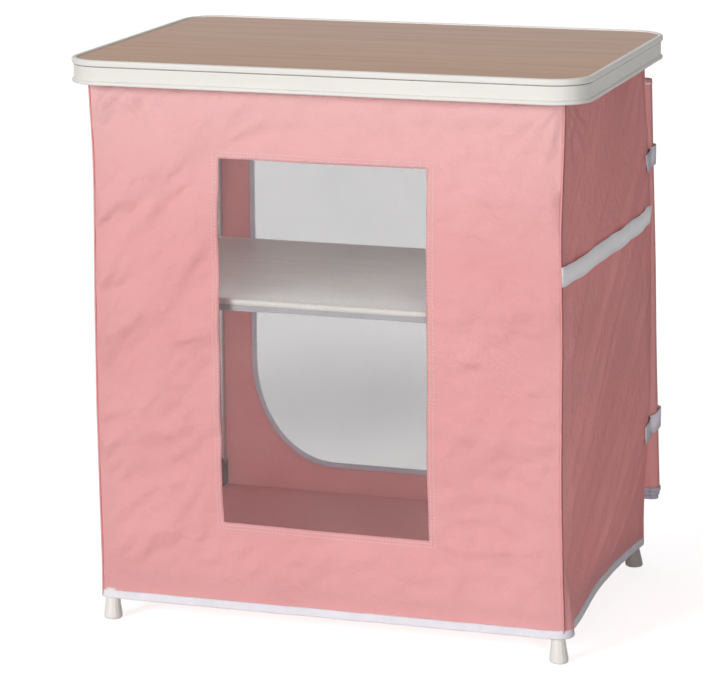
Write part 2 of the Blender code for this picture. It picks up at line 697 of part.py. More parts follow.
def make_window_wall():
    """The front of the cover, with its window cut out."""
    half = WINDOW_WIDTH / 2
    outer = cover_face(COVER_BOTTOM, COVER_TOP_HEIGHT)
    hole = [(-half, WINDOW_BOTTOM), (half, WINDOW_BOTTOM), (half, WINDOW_TOP), (-half, WINDOW_TOP)]
    wall = prism("window_wall", [outer, hole], "Y", -COVER_Y, -COVER_Y + FABRIC)
    finish(wall, PINK)
    middle = -COVER_Y + FABRIC / 2
    mesh = block("window_mesh", (-half + CLEARANCE, middle - MESH_THICKNESS / 2, WINDOW_BOTTOM + CLEARANCE),
                 (half - CLEARANCE, middle + MESH_THICKNESS / 2, WINDOW_TOP - CLEARANCE))
    finish(mesh, NETTING)
    return [wall, mesh]


def make_side_wall(side, sign):
    inner = COVER_Y - FABRIC - CLEARANCE
    xs = sorted((sign * (COVER_X - FABRIC), sign * COVER_X))
    wall = block(side + "_wall", (xs[0], -inner, COVER_BOTTOM), (xs[1], inner, COVER_TOP_HEIGHT))
    finish(wall, PINK)
    return wall


def door_outline(inset):
    """Outline of the door's opening, pulled in by a width. The door hinges on its straight side."""
    left, right = DOOR_LEFT + inset, DOOR_RIGHT
    bottom, top = DOOR_BOTTOM + inset, DOOR_TOP - inset
    lower = DOOR_CORNER_RADIUS - inset
    upper = DOOR_UPPER_CORNER_RADIUS - inset
    points = [(right, bottom), (right, top)]
    points += arc((left + upper, top - upper), upper, 90, 180, CORNER_STEPS)
    points += arc((left + lower, bottom + lower), lower, 180, 270, CORNER_STEPS)
    return points


def make_door_wall():
    """The rear of the cover, with the open doorway."""
    outer = cover_face(COVER_BOTTOM, COVER_TOP_HEIGHT)
    wall = prism("door_wall", [outer, door_outline(0.0)], "Y", COVER_Y - FABRIC, COVER_Y)
    finish(wall, PINK)
    return wall


def make_zip_tape():
    """The half of the zip that stays on the wall, sewn outside round the doorway."""
    face = COVER_Y + CLEARANCE
    tape = prism("zip_tape", [door_outline(-ZIP_TAPE_OVERLAP)], "Y", face, face + ZIP_TAPE_THICKNESS)
    opening = prism("zip_tape_opening", [door_outline(ZIP_TAPE_REACH)], "Y",
                    face - ZIP_TAPE_WIDTH, face + ZIP_TAPE_WIDTH, CUTTERS)
    cut(tape, opening)
    beyond = block("zip_tape_hinge_side", (DOOR_RIGHT - CLEARANCE, face - ZIP_TAPE_WIDTH, 0),
                   (COVER_X, face + ZIP_TAPE_WIDTH, OVERALL_HEIGHT), CUTTERS)
    cut(tape, beyond)
    finish(tape, TAPE)
    return tape


def make_zip_slider():
    """The slider on the free edge of the tape's upper run, and the pull that hangs from it."""
    back = COVER_Y + ZIP_TAPE_THICKNESS + 2 * CLEARANCE
    front = back + ZIP_SLIDER_THICKNESS
    height = ZIP_HEIGHT
    body = block("zip_slider", (ZIP_SLIDER_X - ZIP_SLIDER_LENGTH / 2, back, height - ZIP_SLIDER_WIDTH / 2),
                 (ZIP_SLIDER_X + ZIP_SLIDER_LENGTH / 2, front, height + ZIP_SLIDER_WIDTH / 2))
    ease_edges(body, 0.0008)
    pin_y = front + ZIP_PULL_EYE + 2 * CLEARANCE
    pin_length = ZIP_PULL_WIDTH + 0.0030
    cheek = 0.0012
    for name, sign in (("near", -1), ("far", 1)):
        middle = ZIP_SLIDER_X + sign * (ZIP_PULL_WIDTH / 2 + CLEARANCE + cheek / 2)
        join(body, block("zip_slider_%s_cheek" % name, (middle - cheek / 2, front - 0.0010, height - 0.0015),
                         (middle + cheek / 2, pin_y + 0.0012, height + 0.0015), CUTTERS))
    join(body, rod("zip_slider_pin", ZIP_PULL_PIN_RADIUS, pin_length, "X", (ZIP_SLIDER_X, pin_y, height),
                   8, CUTTERS))
    finish(body, ZINC)
    pull_top = height + ZIP_PULL_EYE
    half_width, half_thickness = ZIP_PULL_WIDTH / 2, ZIP_PULL_THICKNESS / 2
    pull = block("zip_pull",
                 (ZIP_SLIDER_X - half_width, pin_y - half_thickness, pull_top - ZIP_PULL_LENGTH),
                 (ZIP_SLIDER_X + half_width, pin_y + half_thickness, pull_top))
    hole = rod("zip_pull_hole", ZIP_PULL_PIN_RADIUS + 0.0001, 2 * pin_length, "X",
               (ZIP_SLIDER_X, pin_y, height), 8, CUTTERS)
    cut(pull, hole)
    finish(pull, ZINC)
    return body, pull, pin_y


def roll_outline(outreach, extra=0.0):
    """Section of the folded door: a flat stack with round ends, behind the rear right corner."""
    half = ROLL_THICKNESS / 2 + extra
    middle = COVER_Y + max(TIE_THICKNESS, ZIP_TAPE_THICKNESS) + 2 * CLEARANCE + ROLL_THICKNESS / 2
    right = COVER_X + outreach - ROLL_THICKNESS / 2
    left = ROLL_LEFT + ROLL_THICKNESS / 2
    points = arc((right, middle), half, -90, 90, 8)
    points += arc((left, middle), half, 90, 270, 8)
    return points


def make_rolled_door():
    """The unzipped door, folded to the hinge side. It hangs a little fuller at the bottom."""
    roll = prism("rolled_door", [roll_outline(ROLL_TOP_OUTREACH)], "Z", DOOR_BOTTOM - 0.006, DOOR_TOP + 0.002)
    middle = (DOOR_BOTTOM + DOOR_TOP) / 2
    spread = ROLL_BOTTOM_OUTREACH - ROLL_TOP_OUTREACH
    hinge_side = COVER_X + ROLL_TOP_OUTREACH - ROLL_WIDTH / 2
    for vertex in roll.data.vertices:
        place = roll.matrix_world @ vertex.co
        if place.z < middle and place.x > hinge_side:
            vertex.co.x += spread
    finish(roll, PINK)
    return roll


def make_tie(name, height):
    """An elastic loop round the folded door, open where it is sewn to the cover."""
    share = (DOOR_TOP - height) / (DOOR_TOP - DOOR_BOTTOM)
    outreach = ROLL_TOP_OUTREACH + share * (ROLL_BOTTOM_OUTREACH - ROLL_TOP_OUTREACH) + 0.0012
    inner = roll_outline(outreach, CLEARANCE)
    outer = roll_outline(outreach, CLEARANCE + TIE_THICKNESS)
    band = prism(name, [outer, inner], "Z", height, height + TIE_WIDTH)
    finish(band, TAPE)
    return band


def make_hem():
    """The white binding round the foot of the cover."""
    loops = []
    for inset in (0.0, HEM_THICKNESS):
        half_x = COVER_X + 0.0022 - inset
        half_y = COVER_Y + 0.0022 - inset
        loops.append([(half_x, half_y), (-half_x, half_y), (-half_x, -half_y), (half_x, -half_y)])
    hem = prism("hem_binding", loops, "Z", HEM_HEIGHT, HEM_HEIGHT + HEM_WIDTH)
    finish(hem, BINDING)
    return hem


def make_side_strap():
    """Webbing along the right-hand wall, from its front seam to its rear edge."""
    inner = COVER_X + CLEARANCE
    strap = block("side_strap", (inner, -COVER_Y, STRAP_HEIGHT),
                  (inner + STRAP_THICKNESS, COVER_Y, STRAP_HEIGHT + STRAP_WIDTH))
    finish(strap, TAPE)
    return strap


def build_side_frame(side, sign):
    """One side's lower and upper frame on their hinge empties. Returns the upper frame's empty."""
    x = sign * LEG_X
    base_hinge = joint_empty(side + "_base_hinge", (x, 0, BASE_HINGE_HEIGHT))
    elbow = joint_empty(side + "_elbow", (x + sign * ELBOW_OFFSET, 0, ELBOW_HEIGHT), base_hinge)
    lower, upper = [], []
    for end, end_sign in ENDS:
        y = end_sign * LEG_Y
        lower.append(make_leg("lower_leg_%s_%s" % (side, end), x, y, BASE_HINGE_HEIGHT, 1))
        lower.append(make_elbow_fork(side, sign, end, end_sign))
        upper.append(make_elbow_tongue(side, sign, end, end_sign))
        upper.append(make_leg("upper_leg_%s_%s" % (side, end), x, y, TRAY_HINGE_HEIGHT, -1))
    lower.append(make_crossbar("lower_crossbar_" + side, x, ELBOW_HEIGHT - CROSSBAR_DROP))
    rest_height = SHELF_BOTTOM - CLEARANCE - CROSSBAR_DIAMETER / 2
    upper.append(make_crossbar("shelf_rest_" + side, x, rest_height))
    carry(lower, base_hinge)
    carry(upper, elbow)
    return elbow


def build_tray(left_elbow):
    """The tray and all that travels with it: the shelf, and the slider at the top of the doorway."""
    hinge = joint_empty("left_tray_hinge", (-LEG_X, 0, TRAY_HINGE_HEIGHT), left_elbow)
    rim = sweep_round_tray("top_rim", rim_profile())
    ledge = sweep_round_tray("panel_ledge", ledge_profile())
    pieces = [rim, ledge, make_panel()]
    pieces += [make_tray_rail(end, sign) for end, sign in ENDS]
    for side, sign in SIDES:
        pieces += [make_tray_hinge(side, sign, end, end_sign) for end, end_sign in ENDS]
    carry(pieces, hinge)
    shelf_lift = joint_empty("shelf_lift", (0, 0, SHELF_BOTTOM), hinge)
    carry(make_shelf(), shelf_lift)
    slider, pull, pin_y = make_zip_slider()
    zip_run = joint_empty("zip_run", (ZIP_SLIDER_X, COVER_Y, ZIP_HEIGHT), hinge)
    carry([slider], zip_run)
    pull_hinge = joint_empty("zip_pull_hinge", (ZIP_SLIDER_X, pin_y, ZIP_HEIGHT), zip_run)
    carry([pull], pull_hinge)


def build_base():
    for side, sign in SIDES:
        for end, end_sign in ENDS:
            make_foot(side, sign, end, end_sign)
            make_corner_block(side, sign, end, end_sign)
    make_base_rails()
    make_floor()


def build_cover():
    make_window_wall()
    for side, sign in SIDES:
        make_side_wall(side, sign)
    make_door_wall()
    make_zip_tape()
    make_rolled_door()
    make_tie("tie_upper", UPPER_TIE_HEIGHT)
    make_tie("tie_lower", LOWER_TIE_HEIGHT)
    make_hem()
    make_side_strap()


def main():
    build_base()
    elbows = {side: build_side_frame(side, sign) for side, sign in SIDES}
    build_tray(elbows["left"])
    build_cover()


main()
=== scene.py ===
"""Looks for the folding camping cupboard: fabric cover, net window, wood-decor tray and studio.

Metres, +Z up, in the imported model's own frame: the window faces -Y and the strap side faces +X.
The cover's walls are sheets whose folds come from noise and from the gathers at the top corners.
"""
import functools
import json
import math

import bmesh
import bpy
from mathutils import Matrix, Vector, noise

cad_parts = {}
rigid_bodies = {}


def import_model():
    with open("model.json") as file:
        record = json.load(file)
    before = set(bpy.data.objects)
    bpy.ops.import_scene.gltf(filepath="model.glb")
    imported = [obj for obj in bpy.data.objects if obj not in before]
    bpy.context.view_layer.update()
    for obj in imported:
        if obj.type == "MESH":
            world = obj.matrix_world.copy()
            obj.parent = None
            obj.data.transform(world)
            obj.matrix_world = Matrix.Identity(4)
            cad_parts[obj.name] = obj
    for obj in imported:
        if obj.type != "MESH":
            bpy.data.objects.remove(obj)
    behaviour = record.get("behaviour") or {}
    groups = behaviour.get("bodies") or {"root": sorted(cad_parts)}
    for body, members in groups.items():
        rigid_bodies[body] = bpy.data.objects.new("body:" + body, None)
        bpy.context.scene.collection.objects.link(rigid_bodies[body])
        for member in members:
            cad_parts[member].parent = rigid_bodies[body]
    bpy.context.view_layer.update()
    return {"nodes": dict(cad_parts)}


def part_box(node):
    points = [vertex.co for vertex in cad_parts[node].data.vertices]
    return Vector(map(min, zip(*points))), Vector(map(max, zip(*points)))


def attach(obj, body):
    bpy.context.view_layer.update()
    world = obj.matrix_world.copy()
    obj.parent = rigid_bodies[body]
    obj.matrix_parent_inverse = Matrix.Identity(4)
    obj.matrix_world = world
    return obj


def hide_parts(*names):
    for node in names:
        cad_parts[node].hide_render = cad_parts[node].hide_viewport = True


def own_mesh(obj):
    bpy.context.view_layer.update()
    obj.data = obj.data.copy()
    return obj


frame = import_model()

# Camera, from the photograph's perspective
PHOTO_WIDTH = 703
FOCAL_PIXELS = 2983.8
SENSOR_WIDTH = 36.0
CAMERA_PLACE = (1.3082, -4.0411, 1.3986)
CAMERA_YAW = math.radians(18.402)
CAMERA_PITCH = math.radians(-13.599)
CAMERA_ROLL = math.radians(-0.386)

# Cover
FABRIC_THICKNESS = 0.0008
WALL_GRID = 0.004
HEM_TUCK = 0.0090
CORNER_FADE = 0.014
SIDE_FADE = 0.032
FOOT_FLARE = 0.0025
REAR_FOOT_FLARE = 0.0050
FRONT_LEFT_SAG = 0.0048
SEAM_RADIUS = 0.0013
SEAM_GROOVE_SHADE_RADIUS = 0.0011
SEAM_GRID = 0.012
SEAM_ALLOWANCE = 0.006
STITCH_LENGTH = 0.0034
STITCH_PITCH = 0.0050
STITCH_WIDTH = 0.0013
WINDOW_STITCH_MARGIN = 0.009
WINDOW_STITCH_ROWS = 0.005
NET_OVERLAP = 0.006
NET_GRID = 0.012
NET_PITCH = 0.0011
HEM_GRID = 0.006
HEM_HOLLOW = 0.0080
LEFT_HEM_HOLLOW = 0.0010
FOOT_BULGE = 0.0110
HEM_RISE = 0.0054
HEM_THICKNESS = 0.0036
HEM_SLANT = 0.0040
CREASE_WIDTH = 0.0090
FOLD_ROOM = 0.0060

# The cover's outer x at its upright corners, as (height, x), by side and end
CORNER_EDGES = {
    (-1, -1): ((0.05, -0.3425), (0.17, -0.3441), (0.32, -0.3450), (0.47, -0.3437),
               (0.58, -0.3415), (0.66, -0.3400), (0.73, -0.3420), (0.78, -0.3449)),
    (1, -1): ((0.05, 0.3475), (0.10, 0.3440), (0.26, 0.3398), (0.47, 0.3393),
              (0.60, 0.3358), (0.68, 0.3380), (0.76, 0.3400)),
    (1, 1): ((0.05, 0.3530), (0.11, 0.3532), (0.19, 0.3575), (0.27, 0.3612), (0.42, 0.3599),
             (0.56, 0.3577), (0.65, 0.3515), (0.71, 0.3466), (0.75, 0.3433)),
    (-1, 1): ((0.05, -0.3480), (0.30, -0.3510), (0.55, -0.3480), (0.75, -0.3435)),
}

# The clearest creases of the window's wall: (u, z) at both ends, and how far each stands out
FRONT_CREASES = (
    (0.010, 0.596, 0.111, 0.673, 0.0026),
    (0.017, 0.546, 0.171, 0.683, 0.0036),
    (0.020, 0.486, 0.180, 0.620, 0.0040),
    (0.084, 0.500, 0.182, 0.576, 0.0026),
    (0.110, 0.426, 0.182, 0.437, 0.0036),
    (0.011, 0.309, 0.095, 0.326, 0.0030),
    (0.055, 0.780, 0.080, 0.732, 0.0050),
    (0.004, 0.740, 0.052, 0.786, 0.0060),
    (0.507, 0.600, 0.595, 0.602, 0.0024),
    (0.507, 0.556, 0.624, 0.557, 0.0024),
    (0.507, 0.420, 0.596, 0.419, 0.0026),
    (0.507, 0.307, 0.583, 0.327, 0.0024),
    (0.583, 0.327, 0.670, 0.315, 0.0024),
    (0.504, 0.155, 0.672, 0.156, 0.0024),
)

# Folded door, ties and strap
TAPE_OVERLAP = 0.003
TAPE_REACH = 0.007
DOOR_CORNER_RADIUS = 0.135
DOOR_CORNER_STRETCH = 1.25
DOOR_UPPER_CORNER_RADIUS = 0.120
DOOR_ARC_STEPS = 16
ROLL_RIGHT_TOP = 0.3539
ROLL_RIGHT_FOOT = 0.3766
ROLL_LOBES = 3
ROLL_LOBE_DEPTH = 0.0012
ROLL_ARC_STEPS = 20
ROLL_GRID = 0.014
BOUND_HEIGHT = 0.009
BINDING_LAYERS = 3
BINDING_RISE = 0.0062
BINDING_STEP = 0.0018
TIE_RISE = ((0.0, -0.2), (0.11, 0.1), (0.30, 1.0), (0.55, 1.0), (1.0, 0.0))
RIBBON_THICKNESS = 0.0010
STRAP_SLACK = 0.0060
STRAP_RISE = 0.0060
STRAP_STEPS = 90
STRAP_END_GAP = 0.012
TIE_STEPS = 6
COIL_PITCH = 0.0022
COIL_LINK = (0.0013, 0.0020, 0.0030, 1.0)

# Rim and feet
RIM_CORNER_RADIUS = 0.055
RIM_BEAD = 0.0030
RIM_WALL = 0.0030
RIM_BEAD_WIDTH = 0.0070
RIM_FACE = 0.0027
RIM_GROOVE = 0.0016
RIM_GROOVE_DROP = 0.0100
RIM_GROOVE_DEPTH = 0.0018
PANEL_SHADE_WIDTH = 0.0008
FOOT_SIDES = 84
FOOT_FLUTES = 14
FOOT_FLUTE_DEPTH = 0.00035
FOOT_WIDER = 1.07
FOOT_LEAN = {"left_front": (0.003, -0.010), "left_rear": (0.000, 0.014),
             "right_front": (0.007, -0.006), "right_rear": (0.007, 0.020)}

# Where the floor's glow is lowered behind the doorway, as a painted shadow of the cupboard
PAINTED_FLOOR_SHADOW = (-0.38, 1.04, 0.0)

# How flat the cover, the folded door and the hem lie when the frame is folded, inside the rim
COVER_KEEP = 0.175
ROLL_KEEP = 0.158
HEM_KEEP = 0.7

# The heights where the front wall then lies over the legs and the front rail, how far it bellies
# out there to clear them, how much less room its folds have, and how much the rail is cut back
OVER_LEGS = (0.27, 0.80)
FRONT_BELLY = 0.0040
ROOM_FOR_LEGS = 0.0048
RAIL_TRIM = 0.0050

# Places from the frame
WALL_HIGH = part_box("window_wall")[1]
MESH_LOW, MESH_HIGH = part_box("window_mesh")
TAPE_LOW, TAPE_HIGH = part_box("zip_tape")
ROLL_LOW, ROLL_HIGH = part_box("rolled_door")
HEM_LOW, HEM_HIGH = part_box("hem_binding")
STRAP_LOW, STRAP_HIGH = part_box("side_strap")
RIM_LOW, RIM_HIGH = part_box("top_rim")
COVER_X = WALL_HIGH.x
COVER_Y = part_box("door_wall")[1].y
COVER_TOP = WALL_HIGH.z
HEM_TOP = HEM_HIGH.z
COVER_FOOT = HEM_TOP - HEM_TUCK
WINDOW_U = (MESH_LOW.x + COVER_X, MESH_HIGH.x + COVER_X)
GROOVE_HEIGHT = RIM_HIGH.z - RIM_LOW.z - RIM_GROOVE_DROP


# General mesh helpers

def link_object(name, data):
    obj = bpy.data.objects.new(name, data)
    bpy.context.scene.collection.objects.link(obj)
    return obj


def link_mesh(name, bm, smooth=True):
    mesh = bpy.data.meshes.new(name)
    bm.to_mesh(mesh)
    bm.free()
    if smooth:
        mesh.shade_smooth()
    return link_object(name, mesh)


def apply_modifiers(obj):
    """Replaces an object's mesh by its evaluated one, so that no modifier is left."""
    bpy.context.view_layer.update()
    evaluated = obj.evaluated_get(bpy.context.evaluated_depsgraph_get())
    mesh = bpy.data.meshes.new_from_object(evaluated)
    obj.modifiers.clear()
    obj.data = mesh


def thicken(sheet):
    """Gives a sheet the fabric's thickness."""
    solid = sheet.modifiers.new("thickness", "SOLIDIFY")
    solid.thickness = FABRIC_THICKNESS
    solid.offset = -1.0
    solid.use_even_offset = True
    apply_modifiers(sheet)


def sweep_loop(name, sections, closed_path=False):
    """Joins a row of equal closed sections (lists of points) into one surface."""
    bm = bmesh.new()
    rows = [[bm.verts.new(point) for point in section] for section in sections]
    for first, second in zip(rows, rows[1:] + rows[:1] if closed_path else rows[1:]):
        for j in range(len(first)):
            k = (j + 1) % len(first)
            bm.faces.new((first[j], first[k], second[k], second[j]))
    if not closed_path:
        bm.faces.new(rows[0][::-1])
        bm.faces.new(rows[-1])
    bmesh.ops.recalc_face_normals(bm, faces=bm.faces[:])
    return link_mesh(name, bm)


def across_path(points, closed=False):
    """The level direction across a path, at each of its points."""
    count = len(points)
    directions = []
    for i, point in enumerate(points):
        before = points[i - 1] if closed or i > 0 else point
        after = points[(i + 1) % count] if closed or i < count - 1 else point
        along = Vector((after[0] - before[0], after[1] - before[1], 0)).normalized()
        directions.append(Vector((along.y, -along.x, 0)))
    return directions


def resample(points, step):
    """Points at about an even step along a path."""
    result = []
    for start, stop in zip(points, points[1:]):
        start, stop = Vector(start), Vector(stop)
        count = max(1, round((stop - start).length / step))
        result += [start.lerp(stop, i / count) for i in range(count)]
    return result + [Vector(points[-1])]


def arc(centre, radius, start, stop, steps):
    angles = [math.radians(start + (stop - start) * i / steps) for i in range(steps + 1)]
    return [(centre[0] + radius * math.cos(a), centre[1] + radius * math.sin(a)) for a in angles]


def rounded_rectangle(half_x, half_y, radius, steps):
    points = []
    for sx, sy, start in ((1, 1, 0), (-1, 1, 90), (-1, -1, 180), (1, -1, 270)):
        centre = (sx * (half_x - radius), sy * (half_y - radius))
        points += arc(centre, radius, start, start + 90, steps)
    return points


def hump(value, centre, width):
    """A smooth rise to 1 at the centre that is gone one width away."""
    share = abs(value - centre) / width
    return 0.5 + 0.5 * math.cos(math.pi * share) if share < 1 else 0.0


def plateau(value, start, stop, ease):
    """1 between two values, easing to 0 outside them."""
    if value < start:
        return hump(value, start, ease)
    if value > stop:
        return hump(value, stop, ease)
    return 1.0


def ripple(x, y, z):
    """Smooth noise round 0."""
    return noise.noise(Vector((x, y, z)))


def ridges(x, y, seed, softness):
    """Noise whose crests are narrower than its hollows, as fabric folds are."""
    return 1.0 - 2.0 * math.hypot(ripple(x, y, seed), softness)


def pinches(x, y, seed):
    """Narrow raised folds, along the lines where smooth noise changes sign."""
    value = math.hypot(ripple(x, y, seed), 0.02)
    return max(0.0, 1.0 - value / 0.17) ** 2


def paint(obj, material):
    obj.data.materials.clear()
    obj.data.materials.append(material)
    return obj


def dress(piece, material, slot, *nodes, keep=COVER_KEEP):
    """Paints fabric that rides on the base and gives it a mesh of its own.

    Its slot argument is not used. It hides the nodes that it stands for.
    """
    paint(piece, material)
    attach(piece, "base")
    if nodes:
        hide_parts(*nodes)
    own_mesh(piece)


# Materials

class Nodes:
    """Short names for making and joining the nodes of one tree."""

    def __init__(self, tree):
        self.nodes = tree.nodes
        self.links = tree.links

    def feed(self, socket, value):
        """Gives a socket a number, a vector, a colour without alpha or another node's output."""
        if isinstance(value, bpy.types.NodeSocket):
            self.links.new(value, socket)
        elif socket.type == "RGBA":
            socket.default_value = (*value, 1.0)
        else:
            socket.default_value = value

    def node(self, kind, inputs, **settings):
        node = self.nodes.new("ShaderNode" + kind)
        for name, value in settings.items():
            setattr(node, name, value)
        for key, value in inputs.items():
            self.feed(node.inputs[key], value)
        return node

    def maths(self, operation, first, second):
        return self.node("Math", {0: first, 1: second}, operation=operation).outputs[0]

    def mix_shaders(self, factor, first, second, output="Material Output"):
        """Shows the first node's shader where the factor is 0 and the second one's where it is 1."""
        mixed = self.node("MixShader", {0: factor, 1: first.outputs[0], 2: second.outputs[0]})
        self.feed(self.nodes[output].inputs["Surface"], mixed.outputs[0])

    def seen_directly(self):
        """1 for a ray from the camera, a mirror or a window, and 0 for one that carries light."""
        path = self.node("LightPath", {})
        seen = self.maths("MAXIMUM", path.outputs["Is Camera Ray"], path.outputs["Is Glossy Ray"])
        return self.maths("MAXIMUM", seen, path.outputs["Is Transmission Ray"])


class Shading(Nodes):
    """One Principled material and short names for the textures that feed it."""

    def __init__(self, name, roughness, metallic=0.0, specular=0.5):
        self.material = bpy.data.materials.new(name)
        self.material.use_nodes = True
        super().__init__(self.material.node_tree)
        self.shader = self.nodes["Principled BSDF"]
        self.feed(self.shader.inputs["Roughness"], roughness)
        self.feed(self.shader.inputs["Metallic"], metallic)
        self.feed(self.shader.inputs["Specular IOR Level"], specular)
        self.place = self.node("TexCoord", {}).outputs["Object"]

    def stretched(self, scale):
        return self.node("Mapping", {"Vector": self.place, "Scale": scale}).outputs["Vector"]

    def noise(self, scale, detail=3.0, place=None, roughness=0.5):
        inputs = {"Vector": place or self.place, "Scale": scale, "Detail": detail, "Roughness": roughness}
        return self.node("TexNoise", inputs).outputs["Fac"]

    def wave(self, direction, pitch):
        """Bands at a pitch in metres."""
        inputs = {"Vector": self.place, "Scale": math.pi / 10 / pitch}
        return self.node("TexWave", inputs, bands_direction=direction).outputs["Fac"]

    def ramp(self, factor, spread, deep, pale):
        """The deep colour up to the spread below a half, and the pale one from as far above it."""
        node = self.node("ValToRGB", {"Fac": factor})
        elements = node.color_ramp.elements
        for element, position, colour in zip(elements, (0.5 - spread, 0.5 + spread), (deep, pale)):
            element.position = position
            element.color = (*colour, 1.0)
        return node.outputs["Color"]

    def mix(self, factor, first, second):
        inputs = {"Factor": factor, "A": first, "B": second}
        return self.node("Mix", inputs, data_type="RGBA").outputs["Result"]

    def share(self, value, low, high):
        """0 to 1 as a value goes from one limit to the other."""
        inputs = {"Value": value, "From Min": low, "From Max": high}
        return self.node("MapRange", inputs).outputs["Result"]

    def share_of(self, axis, low, high):
        split = self.node("SeparateXYZ", {0: self.place})
        return self.share(split.outputs[axis], low, high)

    def distance_share(self, centre, near, far):
        gap = self.node("VectorMath", {0: self.place, 1: centre}, operation="DISTANCE")
        return self.share(gap.outputs["Value"], near, far)

    def bump(self, height, strength, distance):
        node = self.node("Bump", {"Height": height, "Strength": strength, "Distance": distance})
        self.feed(self.shader.inputs["Normal"], node.outputs["Normal"])

    def colour(self, value):
        self.feed(self.shader.inputs["Base Color"], value)

    def two_tones(self, factor, spread, deep, pale):
        self.colour(self.ramp(factor, spread, deep, pale))


def make_polyester(name, pale, deep, through, top=None):
    """Pink woven polyester, a little uneven in tone, that lets some light through.

    With a colour for its top, the fabric pales towards it over its highest quarter: a painted sheen,
    standing in for light that falls brighter near the top.
    """
    shading = Shading(name, 0.78, specular=0.08)
    tone = shading.ramp(shading.noise(5.0, 4.0, roughness=0.6), 0.20, deep, pale)
    if top:
        # Painted sheen: the tone pales towards the top colour over the highest quarter.
        tone = shading.mix(shading.share_of("Z", COVER_TOP - 0.24, COVER_TOP), tone, top)
    shading.colour(tone)
    crumple = shading.noise(62.0, 5.0, roughness=0.6)
    threads = shading.maths("MULTIPLY", shading.wave("DIAGONAL", 0.0021), 0.05)
    shading.bump(shading.maths("ADD", crumple, threads), 1.0, 0.0034)
    glow = shading.node("BsdfTranslucent", {"Color": through})
    shading.mix_shaders(0.25, shading.shader, glow)
    return shading.material


def make_webbing(name, pale, deep, roughness=0.8, specular=0.2):
    """Woven tape with ribs across it."""
    shading = Shading(name, roughness, specular=specular)
    shading.two_tones(shading.noise(40.0, 3.0), 0.20, deep, pale)
    shading.bump(shading.wave("DIAGONAL", 0.0014), 0.3, 0.0003)
    return shading.material


def make_net():
    """Fine net: square threads with open holes between them."""
    shading = Shading("window_net", 0.8)
    threads = [shading.wave(direction, NET_PITCH) for direction in ("X", "Z")]
    mask = shading.maths("GREATER_THAN", shading.maths("MAXIMUM", *threads), 0.81)
    shading.two_tones(shading.noise(9.0, 2.0), 0.15, (0.092, 0.076, 0.078), (0.130, 0.110, 0.112))
    shading.mix_shaders(mask, shading.node("BsdfTransparent", {}), shading.shader)
    return shading.material


def make_wood():
    """Printed wood decor: long fine streaks along X, warmer at the front and greyer towards the back, where
    the grey is a painted reflection of the pale backdrop.
    """
    shading = Shading("wood_decor", 0.5, specular=0.2)
    broad = shading.noise(1.0, 4.0, shading.stretched((2.5, 38, 1)), 0.6)
    fine = shading.noise(1.0, 3.0, shading.stretched((5, 260, 1)), 0.6)
    weighted = [shading.maths("MULTIPLY", broad, 0.6), shading.maths("MULTIPLY", fine, 0.4)]
    streaks = shading.maths("ADD", *weighted)
    # The grey tone towards the back is a painted reflection. The warm tone is the decor's own.
    grey = shading.ramp(streaks, 0.14, (0.525, 0.340, 0.262), (0.635, 0.420, 0.322))
    warm = shading.ramp(streaks, 0.14, (0.485, 0.284, 0.184), (0.600, 0.366, 0.240))
    shading.colour(shading.mix(shading.share_of("Y", RIM_LOW.y, RIM_HIGH.y), warm, grey))
    shading.bump(fine, 0.10, 0.0003)
    return shading.material


def make_powder_coat(name, pale, deep):
    """Ivory powder coat with a fine orange peel."""
    shading = Shading(name, 0.42, specular=0.3)
    shading.two_tones(shading.noise(8.0, 3.0), 0.15, deep, pale)
    shading.bump(shading.noise(900.0, 2.0), 0.12, 0.0002)
    return shading.material


def make_moulded(name, pale, deep):
    """Moulded plastic with a faint texture."""
    shading = Shading(name, 0.5)
    shading.two_tones(shading.noise(30.0, 3.0), 0.20, deep, pale)
    shading.bump(shading.noise(1400.0, 2.0), 0.15, 0.0002)
    return shading.material


def make_shelf_decor():
    """Pale grey decor film on the shelf board."""
    shading = Shading("shelf_decor", 0.5)
    streaks = shading.noise(1.0, 3.0, shading.stretched((4, 120, 1)), 0.6)
    shading.two_tones(streaks, 0.15, (0.70, 0.75, 0.73), (0.78, 0.83, 0.81))
    shading.bump(streaks, 0.08, 0.0003)
    return shading.material


def make_brushed(name, colour, roughness):
    """Drawn aluminium or plated zinc, with fine drawing lines."""
    shading = Shading(name, roughness, metallic=1.0)
    lines = shading.noise(1.0, 2.0, shading.stretched((900, 900, 12)))
    shading.two_tones(lines, 0.15, tuple(0.86 * channel for channel in colour), colour)
    shading.bump(lines, 0.06, 0.0002)
    return shading.material


PINK = make_polyester("pink_polyester", (0.950, 0.508, 0.504), (0.885, 0.450, 0.447), (0.95, 0.58, 0.58))
# The floor board's pink is a deeper copy of the same fabric: painted shade, for the shade inside the
# cupboard.
SHADED_FLOOR_PINK = make_polyester("pink_polyester_floor", (0.950, 0.475, 0.470), (0.885, 0.425, 0.420),
                            (0.95, 0.60, 0.60))
# The window's wall pales towards its top as a painted sheen of light. The fabric itself does not change.
PINK_WITH_PAINTED_SHEEN = make_polyester("pink_polyester_front", (0.932, 0.505, 0.508), (0.868, 0.448, 0.452),
                           (0.95, 0.60, 0.60), top=(0.960, 0.610, 0.610))
BINDING = make_webbing("white_binding", (0.86, 0.84, 0.89), (0.78, 0.76, 0.82))
TAPE = make_webbing("grey_tape", (0.93, 0.90, 0.93), (0.88, 0.85, 0.88), roughness=0.42, specular=0.8)
TIE_TAPE = make_webbing("elastic_tie", (0.83, 0.80, 0.88), (0.77, 0.74, 0.82))
ZIP_TAPE = make_webbing("zip_tape_grey", (0.66, 0.73, 0.82), (0.60, 0.67, 0.76))
THREAD = make_webbing("stitch_thread", (0.97, 0.86, 0.86), (0.94, 0.80, 0.80))
